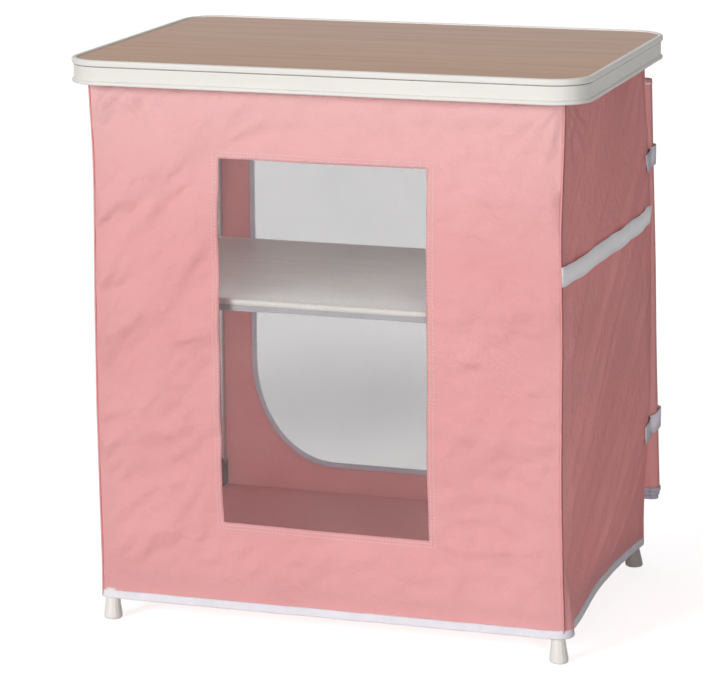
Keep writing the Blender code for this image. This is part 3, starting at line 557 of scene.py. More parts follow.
# Dark pink for the line behind the front seams: painted shade of their groove, where the stitches sink in.
SEAM_GROOVE_SHADE = make_webbing("seam_line", (0.36, 0.12, 0.12), (0.28, 0.09, 0.09))
NET = make_net()
WOOD = make_wood()
IVORY = make_powder_coat("ivory_powder_coat", (0.80, 0.775, 0.735), (0.77, 0.745, 0.705))
FOOT_PLASTIC = make_moulded("ivory_foot_plastic", (0.86, 0.82, 0.78), (0.82, 0.775, 0.735))
# The rear feet are the same ivory plastic. This darker copy is painted shade, for the shade behind the
# cupboard.
SHADED_REAR_FOOT_PLASTIC = make_moulded("taupe_foot_plastic", (0.38, 0.34, 0.32), (0.34, 0.305, 0.285))
# A darker copy of the white binding for the folded door's foot: painted shade.
SHADED_ROLL_BINDING = make_webbing("roll_binding", (0.58, 0.56, 0.66), (0.52, 0.50, 0.60))
# Painted shade: dark brown for the shadow in the gap between the wood panel and the rim.
PANEL_GAP_SHADE = make_moulded("panel_edge_brown", (0.075, 0.048, 0.036), (0.055, 0.035, 0.027))
GROOVE_SHADE = make_moulded("rim_groove_shade", (0.30, 0.28, 0.26), (0.25, 0.23, 0.21))
NYLON = make_moulded("dark_nylon", (0.110, 0.105, 0.108), (0.085, 0.082, 0.085))
# Grey for the shelf edges' recess: partly its own colour, partly painted shade.
SHELF_RECESS_GREY_AND_SHADE = make_moulded("grey_shelf_band", (0.42, 0.42, 0.44), (0.38, 0.38, 0.40))
SHELF_DECOR = make_shelf_decor()
ALUMINIUM = make_brushed("leg_aluminium", (0.56, 0.55, 0.56), 0.42)
ZINC = make_brushed("zip_zinc", (0.62, 0.62, 0.64), 0.30)


# Cover: where its corners and walls run

def line_through(pairs, place):
    """The value at a place on straight lines through (place, value) pairs."""
    for (low, first), (high, second) in zip(pairs, pairs[1:]):
        if place <= high:
            return first + (second - first) * max(0.0, (place - low) / (high - low))
    return pairs[-1][1]


@functools.lru_cache(maxsize=None)
def corner_x(side, end, z):
    """The x of an upright corner, with the bends between its named heights rounded off."""
    edge = CORNER_EDGES[side, end]
    return sum(line_through(edge, z + 0.014 * step) for step in (-2, -1, 0, 1, 2)) / 5


def corner_place(side, end, z):
    """Where one upright corner of the cover is at a height. side and end are -1 or 1."""
    near_foot = 1 - min(1.0, max(0.0, (z - HEM_TOP) / 0.08))
    sag = FRONT_LEFT_SAG * near_foot if (side, end) == (-1, -1) else 0.0
    flare = FOOT_FLARE if end < 0 else REAR_FOOT_FLARE
    return Vector((corner_x(side, end, z), end * (COVER_Y + flare * near_foot ** 2), z - sag))


def top_gathers(u, width, z):
    """Creases that run down and inwards from the two top corners of a wall."""
    total = 0.0
    for edge, seed in ((0.0, 3.1), (width, 8.7)):
        across = abs(u - edge)
        down = max(0.0, COVER_TOP - 0.012 - z)
        reach = math.hypot(across, down)
        angle = math.atan2(across, down + 0.004)
        fade = hump(reach, 0.045, 0.13)
        total += fade * ripple(angle * 5.5, reach * 7.0, seed)
    return total


def crease_height(u, z):
    """How far the named creases lift the window's wall at a place."""
    total = 0.0
    for u0, z0, u1, z1, height in FRONT_CREASES:
        length = math.hypot(u1 - u0, z1 - z0)
        along = ((u - u0) * (u1 - u0) + (z - z0) * (z1 - z0)) / length
        off = ((u - u0) * (z1 - z0) - (z - z0) * (u1 - u0)) / length
        off += 0.004 * ripple(along * 25.0, z0 * 40.0, 2.0)
        ends = hump(along, length / 2, length * 0.72)
        total += height * ends * math.exp(-(off / CREASE_WIDTH) ** 2)
    return total


def front_folds(u, width, z):
    """Soft slanting folds of the front and rear walls, outwards in metres.

    The folds rise to the right near the wall's left edge and level out towards its right edge.
    """
    rise = 0.85 * (u - 0.60 * u * u / width)
    across = z - rise
    strength = 0.45 + 0.55 * plateau(z, 0.30, 0.66, 0.16)
    broad = ripple(across * 14.0, u * 4.5, 1.7)
    creases = ridges(across * 24.0, u * 9.0, 5.3, 0.22)
    crumples = ripple(across * 40.0, u * 30.0, 9.1)
    fine = ripple(across * 95.0, u * 75.0, 3.3)
    folds = strength * (0.0130 * broad + 0.0036 * creases) + 0.0040 * crumples + 0.0010 * fine
    return folds + 0.0042 * top_gathers(u, width, z)


def window_folds(u, width, z):
    """The front wall's folds together with its clearest creases."""
    return front_folds(u, width, z) + crease_height(u, z)


def side_folds(u, width, z):
    """Slanting drapes of the side walls, drawn from the foot in front to the top at the rear."""
    across = 0.64 * u - 0.77 * (z - 0.4)
    along = 0.77 * u + 0.64 * (z - 0.4)
    hang = 0.35 + 0.65 * min(1.0, (COVER_TOP - z) / 0.12)
    long_pinches = pinches(across * 11.0, along * 1.3, 2.9)
    short_pinches = pinches(across * 21.0, along * 2.8, 7.7)
    drapes = ridges(across * 19.0, along * 2.4, 5.1, 0.10)
    broad = ripple(across * 8.0, along * 2.3, 4.4)
    crumples = ripple(across * 90.0, along * 18.0, 6.2)
    folds = 0.0040 * long_pinches + 0.0022 * short_pinches + 0.0030 * drapes + 0.0070 * broad
    return hang * (folds + 0.0006 * crumples) + 0.0045 * top_gathers(u, width, z)


def side_bow(share):
    """How far the foot of a side wall is drawn in and up, from its front corner to its rear one."""
    if share < 0.5:
        return hump(share, 0.5, 0.42)
    return 1 - (2 * share - 1) ** 2.5


class Wall:
    """One wall of the cover, from one corner to the next, seen from outside left to right."""

    def __init__(self, start, stop, folds, calm=None, belly=0.0):
        self.start = start
        self.stop = stop
        self.folds = folds
        self.calm = calm
        self.belly = belly
        self.is_side = start[0] == stop[0]
        self.width = 2 * (COVER_Y if self.is_side else COVER_X)
        self.outwards = Vector((start[0], 0, 0)) if self.is_side else Vector((0, start[1], 0))

    def place(self, u, z, proud=0.0):
        """The point of the wall's surface at a distance along it and a height."""
        share = u / self.width
        point = corner_place(*self.start, z).lerp(corner_place(*self.stop, z), share)
        edge = min(u, self.width - u)
        foot = min(1.0, max(0.0, z - HEM_TOP) / 0.05)
        fade = SIDE_FADE if self.is_side else CORNER_FADE
        push = self.folds(u, self.width, z) * min(1.0, edge / fade) * foot
        if self.calm:
            push *= self.calm(u, z)
        push += self.belly * (1 - abs(2 * share - 1) ** 4) * plateau(z, *OVER_LEGS, 0.15)
        push = max(push, -self.room(edge, z))
        if self.is_side:
            near_foot = hump(max(z, HEM_TOP), HEM_TOP, 0.10)
            bow = near_foot * side_bow(share if self.start[1] < 0 else 1 - share)
            push -= (HEM_HOLLOW if self.start[0] > 0 else LEFT_HEM_HOLLOW) * bow
            if self.start[0] > 0:
                push += FOOT_BULGE * near_foot * hump(u, 0.014, 0.014)
            point.z += HEM_RISE * bow
        return point + self.outwards * (push + proud)

    def room(self, edge, z):
        """How far a fold can sink in before it lies on the frame's legs or the floor board."""
        beside_leg = min(1.0, max(0.0, edge - 0.026) / 0.05)
        above_floor = min(1.0, max(0.0, z - 0.080) / 0.06)
        depth = FOLD_ROOM
        if self.belly:
            depth -= ROOM_FOR_LEGS * plateau(z, *OVER_LEGS, 0.05)
        return 0.0005 + depth * beside_leg * above_floor


def beyond(value, low, high):
    """How far a value is outside two limits."""
    return max(low - value, value - high, 0.0)


def window_calm(u, z):
    """The front wall is held flatter round the window's sewn frame."""
    off = math.hypot(beyond(u, *WINDOW_U), beyond(z, MESH_LOW.z, MESH_HIGH.z))
    return 0.30 + 0.70 * min(1.0, off / 0.035)


def doorway_calm(u, z):
    """The rear wall lies flat where the zip is sewn on."""
    off = math.hypot(beyond(COVER_X - u, TAPE_LOW.x, TAPE_HIGH.x), beyond(z, TAPE_LOW.z, TAPE_HIGH.z))
    return min(1.0, off / 0.05)


def half_calm(u, z):
    """The left wall hangs tighter: its folds hardly show beside the front left corner."""
    return 0.35


FRONT = Wall((-1, -1), (1, -1), window_folds, window_calm, FRONT_BELLY)
RIGHT = Wall((1, -1), (1, 1), side_folds)
REAR = Wall((1, 1), (-1, 1), front_folds, doorway_calm)
LEFT = Wall((-1, 1), (-1, -1), side_folds, half_calm)


def steps_between(marks, pitch):
    """Values from the first mark to the last with an even pitch in each stretch."""
    values = []
    for start, stop in zip(marks, marks[1:]):
        count = max(1, round((stop - start) / pitch))
        values += [start + (stop - start) * i / count for i in range(count)]
    return values + [marks[-1]]


def wall_sheet(name, wall, us, zs, proud=0.0, hole=None):
    """A sheet over a wall as a grid, without the faces inside the hole's four limits."""
    bm = bmesh.new()
    rows = [[bm.verts.new(wall.place(u, z, proud)) for u in us] for z in zs]
    for i in range(len(zs) - 1):
        for j in range(len(us) - 1):
            u, z = (us[j] + us[j + 1]) / 2, (zs[i] + zs[i + 1]) / 2
            if not (hole and hole[0] < u < hole[1] and hole[2] < z < hole[3]):
                bm.faces.new((rows[i][j], rows[i][j + 1], rows[i + 1][j + 1], rows[i + 1][j]))
    loose = [vertex for vertex in bm.verts if not vertex.link_faces]
    bmesh.ops.delete(bm, geom=loose, context="VERTS")
    return link_mesh(name, bm)


def door_outline(inset):
    """The doorway's outline as (x, z), open along its hinge side."""
    left = TAPE_LOW.x + TAPE_OVERLAP + inset
    right = TAPE_HIGH.x
    bottom = TAPE_LOW.z + TAPE_OVERLAP + inset
    top = TAPE_HIGH.z - TAPE_OVERLAP - inset
    lower = DOOR_CORNER_RADIUS - inset
    upper = DOOR_UPPER_CORNER_RADIUS - inset
    points = [(right, top)]
    points += arc((left + upper, top - upper), upper, 90, 180, DOOR_ARC_STEPS)
    points += [(x, bottom + (z - bottom) * DOOR_CORNER_STRETCH)
               for x, z in arc((left + lower, bottom + lower), lower, 180, 270, DOOR_ARC_STEPS)]
    points.append((right, bottom))
    return points


def flat_area(outline):
    """The area inside a closed outline of flat points."""
    total = 0.0
    for (x0, z0), (x1, z1) in zip(outline, outline[1:] + outline[:1]):
        total += x0 * z1 - x1 * z0
    return abs(total) / 2


def cut_doorway(sheet):
    """Cuts the doorway out of the rear wall's sheet."""
    sections = [[(x, COVER_Y + off, z) for x, z in door_outline(0.0)] for off in (-0.05, 0.05)]
    cutter = sweep_loop("doorway_cutter", sections)
    cutter.data.shade_flat()
    boolean = sheet.modifiers.new("doorway", "BOOLEAN")
    boolean.operation = "DIFFERENCE"
    boolean.solver = "EXACT"
    boolean.object = cutter
    apply_modifiers(sheet)
    bpy.data.objects.remove(cutter, do_unlink=True)


def make_cover():
    """The four walls and the upright seams between them."""
    window_area = (MESH_HIGH.x - MESH_LOW.x) * (MESH_HIGH.z - MESH_LOW.z)
    doorway_area = flat_area(door_outline(SEAM_ALLOWANCE))
    for name, wall, node, opening in (("front", FRONT, "window_wall", window_area),
                                      ("rear", REAR, "door_wall", doorway_area),
                                      ("right", RIGHT, "right_wall", 0), ("left", LEFT, "left_wall", 0)):
        width = wall.width
        u_marks, z_marks, hole = (0.0, width), (COVER_FOOT, COVER_TOP), None
        if wall is FRONT:
            u_marks = (0.0, *WINDOW_U, width)
            z_marks = (COVER_FOOT, MESH_LOW.z, MESH_HIGH.z, COVER_TOP)
            hole = (*WINDOW_U, MESH_LOW.z, MESH_HIGH.z)
        us, zs = steps_between(u_marks, WALL_GRID), steps_between(z_marks, WALL_GRID)
        sheet = wall_sheet(name + "_fabric", wall, us, zs, hole=hole)
        thicken(sheet)
        if wall is REAR:
            cut_doorway(sheet)
        dress(sheet, PINK_WITH_PAINTED_SHEEN if wall is FRONT else PINK, "pink_polyester", node)
    for name, side, end in (("front_left", -1, -1), ("front_right", 1, -1),
                            ("rear_right", 1, 1), ("rear_left", -1, 1)):
        make_corner_seam(name, side, end)


def make_corner_seam(name, side, end):
    """The rolled seam allowance along one upright corner, and at the front corners a dark line beside it:
    the sunk line of its stitches, with painted shade of the groove behind the seam.
    """
    rolls = [("seam_", (0, 0.0005 * end, 0), SEAM_RADIUS, PINK)]
    if end < 0:
        # The dark line is painted shade of the groove beside the seam, over the sunk stitch line.
        rolls.append(("seam_line_", (0.0006 * side, -0.0024 * end, 0), SEAM_GROOVE_SHADE_RADIUS, SEAM_GROOVE_SHADE))
    for piece, offset, size, material in rolls:
        sections = []
        for z in steps_between((COVER_FOOT, COVER_TOP), SEAM_GRID):
            middle = corner_place(side, end, z) + Vector(offset)
            radius = size * (1 + 0.3 * ripple(side * 3.0, end * 5.0, z * 60.0))
            sections.append([middle + Vector((radius * math.cos(a), radius * math.sin(a), 0))
                             for a in (2 * math.pi * i / 8 for i in range(8))])
        dress(sweep_loop(piece + name, sections), material, "pink_polyester")


def stitch_points(path, spacing):
    """Evenly spaced places and directions along a path of points."""
    travelled, wanted = 0.0, spacing / 2
    for start, stop in zip(path, path[1:]):
        length = (stop - start).length
        while length > 0 and wanted <= travelled + length:
            yield start.lerp(stop, (wanted - travelled) / length), (stop - start) / length
            wanted += spacing
        travelled += length


def make_stitches(paths):
    """Rows of short thread stitches lying on the window's wall along each path."""
    outwards = FRONT.outwards
    bm = bmesh.new()
    for path in paths:
        for middle, along in stitch_points(path, STITCH_PITCH):
            side = along.cross(outwards).normalized()
            ring = [bm.verts.new(middle + side * sx * STITCH_WIDTH / 2 + outwards * so * STITCH_WIDTH / 2)
                    for sx, so in ((1, 0), (0, 1), (-1, 0), (0, -1))]
            for tip in [bm.verts.new(middle + along * STITCH_LENGTH / 2 * sign) for sign in (-1, 1)]:
                for i in range(4):
                    bm.faces.new((ring[i], ring[(i + 1) % 4], tip))
    bmesh.ops.recalc_face_normals(bm, faces=bm.faces[:])
    dress(link_mesh("window_stitches", bm), THREAD, "white_binding")


def make_window():
    """The net, sewn behind the window's edge, and the two rows of stitches round it."""
    us = steps_between((WINDOW_U[0] - NET_OVERLAP, WINDOW_U[1] + NET_OVERLAP), NET_GRID)
    zs = steps_between((MESH_LOW.z - NET_OVERLAP, MESH_HIGH.z + NET_OVERLAP), NET_GRID)
    net = wall_sheet("window_net_sheet", FRONT, us, zs, proud=-FABRIC_THICKNESS - 0.0004)
    dress(net, NET, "window_net", "window_mesh")
    paths = []
    for out in (WINDOW_STITCH_MARGIN, WINDOW_STITCH_MARGIN - WINDOW_STITCH_ROWS):
        low_u, high_u = WINDOW_U[0] - out, WINDOW_U[1] + out
        low_z, high_z = MESH_LOW.z - out, MESH_HIGH.z + out
        corners = [(low_u, low_z), (high_u, low_z), (high_u, high_z), (low_u, high_z), (low_u, low_z)]
        paths.append([FRONT.place(*point, FABRIC_THICKNESS * 0.2) for point in resample(corners, 0.004)])
    make_stitches(paths)


def hem_path():
    """The cover's foot line round all four walls, with rounded corners."""
    middle = (HEM_LOW.z + HEM_HIGH.z) / 2
    points = []
    for wall in (FRONT, RIGHT, REAR, LEFT):
        count = round(wall.width / HEM_GRID)
        points += [wall.place(wall.width * i / count, middle) for i in range(count)]
    for _ in range(2):
        points = [(points[i - 1] + 2 * point + points[(i + 1) % len(points)]) / 4
                  for i, point in enumerate(points)]
    return points


def make_hem():
    """The folded binding tape round the cover's foot. It hangs a little outwards, like a skirt."""
    path = hem_path()
    half = (HEM_HIGH.z - HEM_LOW.z) / 2
    thick = HEM_THICKNESS / 2
    corners = ((1, 0.75), (0.6, 1), (-0.6, 1), (-1, 0.75), (-1, -0.75), (-0.6, -1), (0.6, -1), (1, -0.75))
    section = [(out * thick, up * half) for out, up in corners]
    sections = []
    for point, across in zip(path, across_path(path, closed=True)):
        wobble = 0.0006 * ripple(point.x * 30, point.y * 30, 1.0)
        rise = 0.0007 * ripple(point.x * 18, point.y * 18, 8.0)
        slant = HEM_SLANT * (0.35 + 0.65 * abs(across.y))
        sections.append([point + across * (out + 0.0006 + wobble + slant * (half - up) / (2 * half))
                         + Vector((0, 0, up + rise)) for out, up in section])
    hem = sweep_loop("hem_tape", sections, closed_path=True)
    dress(hem, BINDING, "white_binding", "hem_binding", keep=HEM_KEEP)


# Ribbons: strap, ties and zip tape

def over_folds(u, z, half, reach=0.014):
    """A point on the right wall's crests round a place, where a taut band of this half width runs."""
    point = RIGHT.place(u, z)
    around = [RIGHT.place(min(max(u + du, 0.0), RIGHT.width), z + dz)
              for du in (-reach, -reach / 2, 0.0, reach / 2, reach)
              for dz in (-half, -half / 2, 0.0, half / 2, half)]
    return point + RIGHT.outwards * (max((p - point).dot(RIGHT.outwards) for p in around) + 0.0004)


def band_between(name, feet, heads, thickness):
    """A band from a lower path to an upper one, thickened to its outer side."""
    middles = [(foot + head) / 2 for foot, head in zip(feet, heads)]
    sections = []
    for foot, middle, head, across in zip(feet, middles, heads, across_path(middles)):
        inner = [foot, middle, head]
        sections.append(inner + [place + across * thickness for place in inner[::-1]])
    return sweep_loop(name, sections)


def ribbon(name, path, width, thickness, slack=0.0, seed=0.0):
    """A band standing on edge along a path. Its top edge stands off in places, as a slack strap does."""
    feet, heads = [], []
    for point, across in zip(path, across_path(path)):
        loose = slack * max(0.0, ripple(point.x * 30, point.y * 30, seed) - 0.05)
        drop = 0.0012 * ripple(point.x * 16, point.y * 16, seed + 3)
        feet.append(point + Vector((0, 0, drop - width / 2)))
        heads.append(point + Vector((0, 0, drop + width / 2)) + across * loose)
    return band_between(name, feet, heads, thickness)


def make_strap():
    """Webbing sewn into the front right seam, drawn along the wall to just short of its rear corner."""
    middle = (STRAP_LOW.z + STRAP_HIGH.z) / 2
    half = (STRAP_HIGH.z - STRAP_LOW.z) / 2
    path = [RIGHT.place(0.0, middle)]
    for i in range(1, STRAP_STEPS + 1):
        path.append(over_folds((RIGHT.width - STRAP_END_GAP) * i / STRAP_STEPS, middle, half))
    for _ in range(4):
        path = path[:1] + [(a + 2 * b + c) / 4 for a, b, c in zip(path, path[1:], path[2:])] + path[-1:]
    for i, point in enumerate(path):
        point.z += STRAP_RISE * i / STRAP_STEPS
    strap = ribbon("side_webbing", path, STRAP_HIGH.z - STRAP_LOW.z, RIBBON_THICKNESS, STRAP_SLACK, 2.0)
    dress(strap, TAPE, "grey_tape", "side_strap")


def roll_outline(z, proud, lobes=True):
    """The folded door's outline at a height: a flat stack whose fold edges show at its right end."""
    share = (ROLL_HIGH.z - z) / (ROLL_HIGH.z - ROLL_LOW.z)
    thick = (ROLL_HIGH.y - ROLL_LOW.y) / 2
    middle = (ROLL_HIGH.y + ROLL_LOW.y) / 2
    right = ROLL_RIGHT_TOP + (ROLL_RIGHT_FOOT - ROLL_RIGHT_TOP) * share - thick
    left = ROLL_LOW.x + thick
    radius = thick + proud
    points = []
    for i in range(ROLL_ARC_STEPS + 1):
        angle = -90 + 180 * i / ROLL_ARC_STEPS
        depth = 0.0
        if lobes:
            depth = ROLL_LOBE_DEPTH * (1 - abs(math.cos(math.radians(angle + 90) * ROLL_LOBES)))
        reach = radius - depth
        points.append((right + reach * math.cos(math.radians(angle)),
                       middle + radius * math.sin(math.radians(angle))))
    points += arc((left, middle), radius, 90, 270, ROLL_ARC_STEPS)
    return [Vector((x, y, z)) for x, y in points]


def roll_wobble(x, y, z):
    """How far the folded door's skin strays in and out."""
    return 0.0012 * ripple(x * 24, y * 40, z * 5.0)


def door_ribbon(name, z, proud, width, thickness, material):
    """A ribbon sewn round the folded door at a height."""
    outline = roll_outline(z, proud)
    band = ribbon(name, outline + [outline[0]], width, thickness)
    dress(band, material, "white_binding", keep=ROLL_KEEP)


def make_folded_door():
    """The unzipped door, folded to its hinge side, with bound edges at its foot."""
    sections = []
    for z in steps_between((ROLL_LOW.z + BOUND_HEIGHT, ROLL_HIGH.z), ROLL_GRID):
        outline = roll_outline(z, -0.0012)
        sections.append([point + across * roll_wobble(*point)
                         for point, across in zip(outline, across_path(outline, closed=True))])
    door = sweep_loop("folded_door", sections)
    dress(door, PINK, "pink_polyester", "rolled_door", keep=ROLL_KEEP)
    # The bound edges get the darker copy of the white binding: painted shade at the bundle's foot.
    for layer in range(BINDING_LAYERS):
        middle = ROLL_LOW.z - 0.0004 + BINDING_RISE * layer
        proud = -0.0040 + BINDING_STEP * layer
        door_ribbon("door_binding_%d" % (layer + 1), middle, proud, 0.0060, 0.0010, SHADED_ROLL_BINDING)
    door_ribbon("door_piping", ROLL_HIGH.z - 0.0065, -0.0020, 0.0030, 0.0012, THREAD)


def make_tie(node, tab, rise, slant):
    """An elastic tie: sewn to the side wall, round the folded door and back to the rear wall.

    It stands higher by rise where it passes the bundle's right edge. Its sewn end is cut at a slant.
    """
    low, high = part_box(node)
    up = Vector((0, 0, (high.z - low.z) / 2))
    middle = (low.z + high.z) / 2
    heads, feet = [], []
    for i in range(TIE_STEPS + 1):
        share = i / TIE_STEPS
        u = RIGHT.width - tab * (1 - share)
        lower_u = min(RIGHT.width, u + slant * (1 - share))
        heads.append(over_folds(u, middle, up.z, 0.010) + up)
        feet.append(over_folds(lower_u, middle, up.z, 0.010) - up)
    outline = roll_outline(middle, 0.0012, lobes=False)[3:]
    heads += [point + up for point in outline]
    feet += [point - up for point in outline]
    for i, (head, foot) in enumerate(zip(heads, feet)):
        lift = rise * line_through(TIE_RISE, i / (len(heads) - 1))
        head.z += lift
        foot.z += lift
    band = band_between("band_" + node, feet, heads, RIBBON_THICKNESS)
    dress(band, TIE_TAPE, "grey_tape", node, keep=ROLL_KEEP)


def make_zip_tape():
    """The zip's fixed half: tape sewn round the doorway, and its coil along the free edge."""
    near, far = TAPE_LOW.y, TAPE_HIGH.y
    inner = door_outline(TAPE_REACH)
    sections = [[Vector(corner) for corner in ((ox, near, oz), (ix, near, iz), (ix, far, iz), (ox, far, oz))]
                for (ox, oz), (ix, iz) in zip(door_outline(-TAPE_OVERLAP), inner)]
    dress(sweep_loop("doorway_tape", sections), ZIP_TAPE, "grey_tape", "zip_tape")
    coil_path = [Vector((x, near + (far - near) / 2, z)) for x, z in inner]
    upright = Vector((0, 1, 0))
    bm = bmesh.new()
    for middle, along in stitch_points(coil_path, COIL_PITCH):
        matrix = Matrix((along, upright, along.cross(upright))).transposed().to_4x4()
        matrix.translation = middle
        bmesh.ops.create_cube(bm, size=1.0, matrix=matrix @ Matrix.Diagonal(COIL_LINK))
    dress(link_mesh("zip_coil", bm, smooth=False), ZIP_TAPE, "grey_tape")


# Tray, shelf and feet

def rim_section():
    """Distances inwards from the rim's outer line and heights above its foot."""
    height = RIM_HIGH.z - RIM_LOW.z
    inner = RIM_BEAD + RIM_WALL
    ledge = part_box("panel_ledge")[1].z - RIM_LOW.z + 0.0003
    groove, face, back = GROOVE_HEIGHT, RIM_FACE, RIM_FACE + RIM_GROOVE_DEPTH
    points = [(inner, 0.0)]
    points += arc((0.0021, 0.0021), 0.0021, 270, 180, 9)
    points += [(0.0, 0.0034), (0.0004, 0.0046), (0.0014, 0.0056), (face, 0.0062)]
    points += [(face, groove), (back, groove), (back, groove + RIM_GROOVE)]
    points += [(0.0010, groove + RIM_GROOVE), (0.0002, groove + RIM_GROOVE + 0.0010)]
    points += arc((RIM_BEAD, height - RIM_BEAD), RIM_BEAD, 180, 90, 9)
    points += [(RIM_BEAD_WIDTH - 0.0012, height), (RIM_BEAD_WIDTH - 0.0004, height - 0.0003)]
    points += [(RIM_BEAD_WIDTH, height - 0.0010), (RIM_BEAD_WIDTH, ledge), (inner, ledge)]
    return points


def ring_round_tray(name, section):
    """An extrusion with this section, bent round the tray, with crisp edges along its length."""
    rings = []
    for inset, height in section:
        ring = rounded_rectangle(RIM_HIGH.x - inset, RIM_HIGH.y - inset, RIM_CORNER_RADIUS - inset, 24)
        rings.append([Vector((x, y, RIM_LOW.z + height)) for x, y in ring])
    obj = sweep_loop(name, rings, closed_path=True)
    obj.data.set_sharp_from_angle(angle=math.radians(32))
    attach(obj, "tray")
    return obj


def make_rim():
    """The rim extrusion in one piece, with finer corners than the solid, a dark band round the panel's edge
    painted as the shadow in the gap between panel and rim, and a grey-brown strip painted as the shade in
    the rim's groove.
    """
    rim = paint(ring_round_tray("rim_extrusion", rim_section()), IVORY)
    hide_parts("top_rim")
    panel_low, panel_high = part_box("top_panel")
    # The thin dark band round the panel's edge is a painted shadow of the gap between panel and rim.
    inset = RIM_HIGH.x - panel_high.x
    low, high = panel_low.z - RIM_LOW.z, panel_high.z - RIM_LOW.z - 0.0002
    outer = inset - PANEL_SHADE_WIDTH
    band = ring_round_tray("panel_edge_band", [(outer, low), (outer, high), (inset, high), (inset, low)])
    paint(band, PANEL_GAP_SHADE)
    front, back = RIM_FACE + RIM_GROOVE_DEPTH - 0.0010, RIM_FACE + RIM_GROOVE_DEPTH + 0.0004
    low, high = GROOVE_HEIGHT + 0.0002, GROOVE_HEIGHT + 0.0012
    line = ring_round_tray("rim_groove_line", [(front, low), (front, high), (back, high), (back, low)])
    paint(line, GROOVE_SHADE)


def make_shelf_bands():
    """A grey strip in the recess of each shelf edge: partly the edge's own grey, partly painted shade of the
    recess.
    """
    for end, sign in (("front", -1), ("rear", 1)):
        low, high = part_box("shelf_edge_" + end)
        face = low.y if sign < 0 else high.y
        strip_low, strip_high = low.z + 0.0006, high.z - 0.0082
        size = (high.x - low.x, 0.0012, strip_high - strip_low, 1.0)
        middle = ((low.x + high.x) / 2, face - sign * 0.0015, (strip_low + strip_high) / 2)
        bm = bmesh.new()
        bmesh.ops.create_cube(bm, size=1.0, matrix=Matrix.Translation(middle) @ Matrix.Diagonal(size))
        bmesh.ops.bevel(bm, geom=bm.edges[:], offset=0.0003, segments=2, profile=0.7, affect="EDGES")
        strip = link_mesh("shelf_strip_" + end, bm)
        paint(strip, SHELF_RECESS_GREY_AND_SHADE)
        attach(strip, "shelf")


def foot_profile(height, sole):
    """Radii and heights of a foot, from its top to its rounded sole."""
    neck = 0.74 * sole
    rings = ((0, 1), (0, 0.86), (0.0002, 0.82), (0.0007, 0.80), (0.0007, 0.775), (0.0001, 0.755))
    points = [(neck + out, share * height) for out, share in rings]
    for i in range(1, 13):
        share = i / 12
        points.append((neck + (sole - neck) * share ** 1.15, (0.755 - 0.60 * share) * height))
    corner = 0.0032
    points.append((sole, 0.09 * height))
    return points + arc((sole - corner, corner), corner, -15, -90, 5)


def make_feet():
    """Four flared feet with a fine ring and shallow flutes."""
    for corner, lean in FOOT_LEAN.items():
        node = "foot_" + corner
        low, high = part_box(node)
        centre = (low + high) / 2
        sections = []
        for radius, z in foot_profile(high.z - low.z, FOOT_WIDER * (high.x - low.x) / 2):
            out = 1 - 0.4 * z / (high.z - low.z)
            middle = (centre.x + out * lean[0], centre.y + out * lean[1])
            fluted = plateau(z, 0.008, 0.030, 0.004)
            ring = []
            for i in range(FOOT_SIDES):
                angle = 2 * math.pi * i / FOOT_SIDES
                cut = FOOT_FLUTE_DEPTH * fluted * (0.5 - 0.5 * math.cos(angle * FOOT_FLUTES))
                ring.append(Vector((middle[0] + (radius - cut) * math.cos(angle),
                                    middle[1] + (radius - cut) * math.sin(angle), low.z + z)))
            sections.append(ring)
        foot = sweep_loop("fluted_" + node, sections)
        # The rear feet get the darker copy of the plastic: painted shade.
        paint(foot, FOOT_PLASTIC if corner.endswith("front") else SHADED_REAR_FOOT_PLASTIC)
        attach(foot, "base")
        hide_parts(node)


def make_front_rail():
    """The tray's front rail with its ends cut back, to stay inside the waist of the folded cover."""
    node = frame["nodes"]["tray_rail_front"]
    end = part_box("tray_rail_front")[1].x
    mesh = node.data.copy()
    mesh.transform(node.matrix_world)
    for vertex in mesh.vertices:
        if abs(vertex.co.x) > end - RAIL_TRIM:
            vertex.co.x -= math.copysign(RAIL_TRIM, vertex.co.x)
    rail = link_object("trimmed_front_rail", mesh)
    paint(rail, ALUMINIUM)
    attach(rail, "tray")
    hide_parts("tray_rail_front")


# Materials of the CAD nodes that stay, by how their names start
NODE_MATERIALS = (
    (WOOD, ("top_panel",)),
    (IVORY, ("panel_ledge", "shelf_edge")),
    (ALUMINIUM, ("tray_rail", "shelf_rest", "upper_leg", "lower_leg", "lower_crossbar", "base_rail")),
    (NYLON, ("tray_hinge", "elbow", "corner_block")),
    (SHELF_DECOR, ("shelf_board",)),
    (SHADED_FLOOR_PINK, ("floor_board",)),
    (ZINC, ("zip_slider", "zip_pull")),
)


def paint_nodes():
    for name, node in frame["nodes"].items():
        for material, starts in NODE_MATERIALS:
            if name.startswith(starts):
                paint(node, material)


# Studio

def make_floor():
    """A plain pale floor. Camera, mirror and window rays see it white, apart from the shadow.

    It glows less in a spot behind the doorway: a painted shadow of the cupboard.
    """
    bm = bmesh.new()
    bmesh.ops.create_grid(bm, x_segments=1, y_segments=1, size=30.0)
    floor = link_mesh("studio_floor", bm, smooth=False)
    floor.location.z = -0.0004
    shading = Shading("studio_floor", 0.9)
    shading.colour((0.55, 0.55, 0.55))
    far = shading.maths("MULTIPLY", shading.distance_share((0, 0, 0), 1.0, 6.0), 0.24)
    # Painted shadow: less glow in a spot behind the doorway.
    behind = shading.maths("MULTIPLY", shading.distance_share(PAINTED_FLOOR_SHADOW, 0.60, 0.10), 0.27)
    strength = shading.maths("SUBTRACT", shading.maths("ADD", far, 0.77), behind)
    pale = shading.node("BsdfDiffuse", {"Color": (0.75, 0.75, 0.75)})
    glow = shading.node("Emission", {"Strength": strength})
    total = shading.node("AddShader", {0: pale.outputs[0], 1: glow.outputs[0]})
    shading.mix_shaders(shading.seen_directly(), shading.shader, total)
    paint(floor, shading.material)


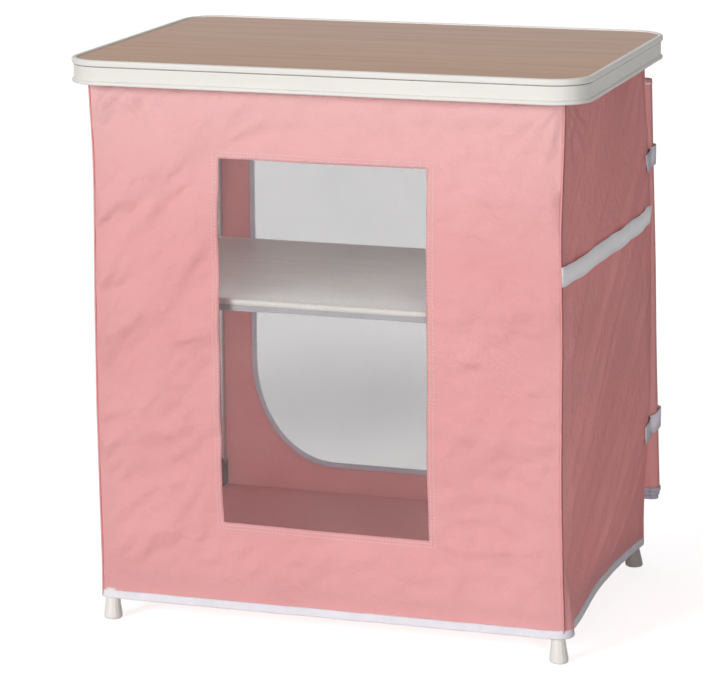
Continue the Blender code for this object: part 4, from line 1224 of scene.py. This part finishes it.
def make_world():
    """White for rays that reach the background, and a softer grey as light."""
    world = bpy.data.worlds.new("studio")
    bpy.context.scene.world = world
    world.use_nodes = True
    tree = Nodes(world.node_tree)
    light = tree.nodes["Background"]
    white = tree.node("Background", {"Color": (1.0, 1.0, 1.0), "Strength": 1.0})
    tree.feed(light.inputs["Color"], (1.0, 1.0, 1.0))
    tree.feed(light.inputs["Strength"], 0.08)
    tree.mix_shaders(tree.seen_directly(), light, white, "World Output")


def area_lamp(name, place, target, size, power):
    lamp = bpy.data.lights.new(name, "AREA")
    lamp.shape = "RECTANGLE"
    lamp.size, lamp.size_y = size
    lamp.energy = power
    obj = link_object(name, lamp)
    obj.location = place
    direction = Vector(target) - Vector(place)
    obj.rotation_euler = direction.to_track_quat("-Z", "Y").to_euler()
    obj.visible_camera = False


def make_lamps():
    """Level light from the front left, softer light on the right side and above, and light inside."""
    area_lamp("key_far", (-3.7, -7.0, 2.9), (0, 0, 0.30), (2.6, 2.6), 395)
    area_lamp("side_soft", (2.6, -3.9, 1.3), (0.3, 0, 0.3), (1.0, 1.0), 72)
    area_lamp("top_soft", (-0.4, 0.2, 3.4), (0, 0, 0.8), (2.4, 2.4), 23)
    area_lamp("window_fill", (0.0, -0.212, 0.43), (0, 0.2, 0.43), (0.29, 0.50), 0.50)
    area_lamp("inner_fill", (0.0, -0.200, 0.43), (0, 0.2, 0.43), (0.62, 0.68), 0.95)
    area_lamp("shelf_fill", (0.0, 0.0, 0.745), (0, 0.001, 0.4), (0.50, 0.35), 0.30)


def keep_lamps_off_top(*names):
    """Lets the lamps inside the cupboard pass the tray, which is below them once the frame is folded."""
    tray_top = bpy.data.collections.new("tray_top")
    for obj in bpy.context.scene.objects:
        if obj.name.startswith(("top_panel", "rim_")):
            tray_top.objects.link(obj)
    for member in tray_top.collection_objects:
        member.light_linking.link_state = "EXCLUDE"
    for name in names:
        bpy.data.objects[name].light_linking.receiver_collection = tray_top


def make_camera():
    camera = bpy.data.cameras.new("photo_camera")
    camera.sensor_width = SENSOR_WIDTH
    camera.lens = FOCAL_PIXELS * SENSOR_WIDTH / PHOTO_WIDTH
    obj = link_object("photo_camera", camera)
    turn = Matrix.Rotation(CAMERA_YAW, 4, "Z") @ Matrix.Rotation(math.radians(90) + CAMERA_PITCH, 4, "X")
    turn = turn @ Matrix.Rotation(CAMERA_ROLL, 4, "Z")
    obj.matrix_world = Matrix.Translation(CAMERA_PLACE) @ turn
    bpy.context.scene.camera = obj


def main():
    make_camera()
    make_world()
    make_lamps()
    make_floor()
    paint_nodes()
    make_cover()
    make_window()
    make_hem()
    make_strap()
    make_folded_door()
    make_tie("tie_upper", 0.050, 0.005, 0.020)
    make_tie("tie_lower", 0.052, 0.013, 0.008)
    make_zip_tape()
    make_rim()
    make_shelf_bands()
    make_feet()
    make_front_rail()
    keep_lamps_off_top("window_fill", "inner_fill", "shelf_fill")
    bpy.context.scene.view_settings.view_transform = "Standard"


main()
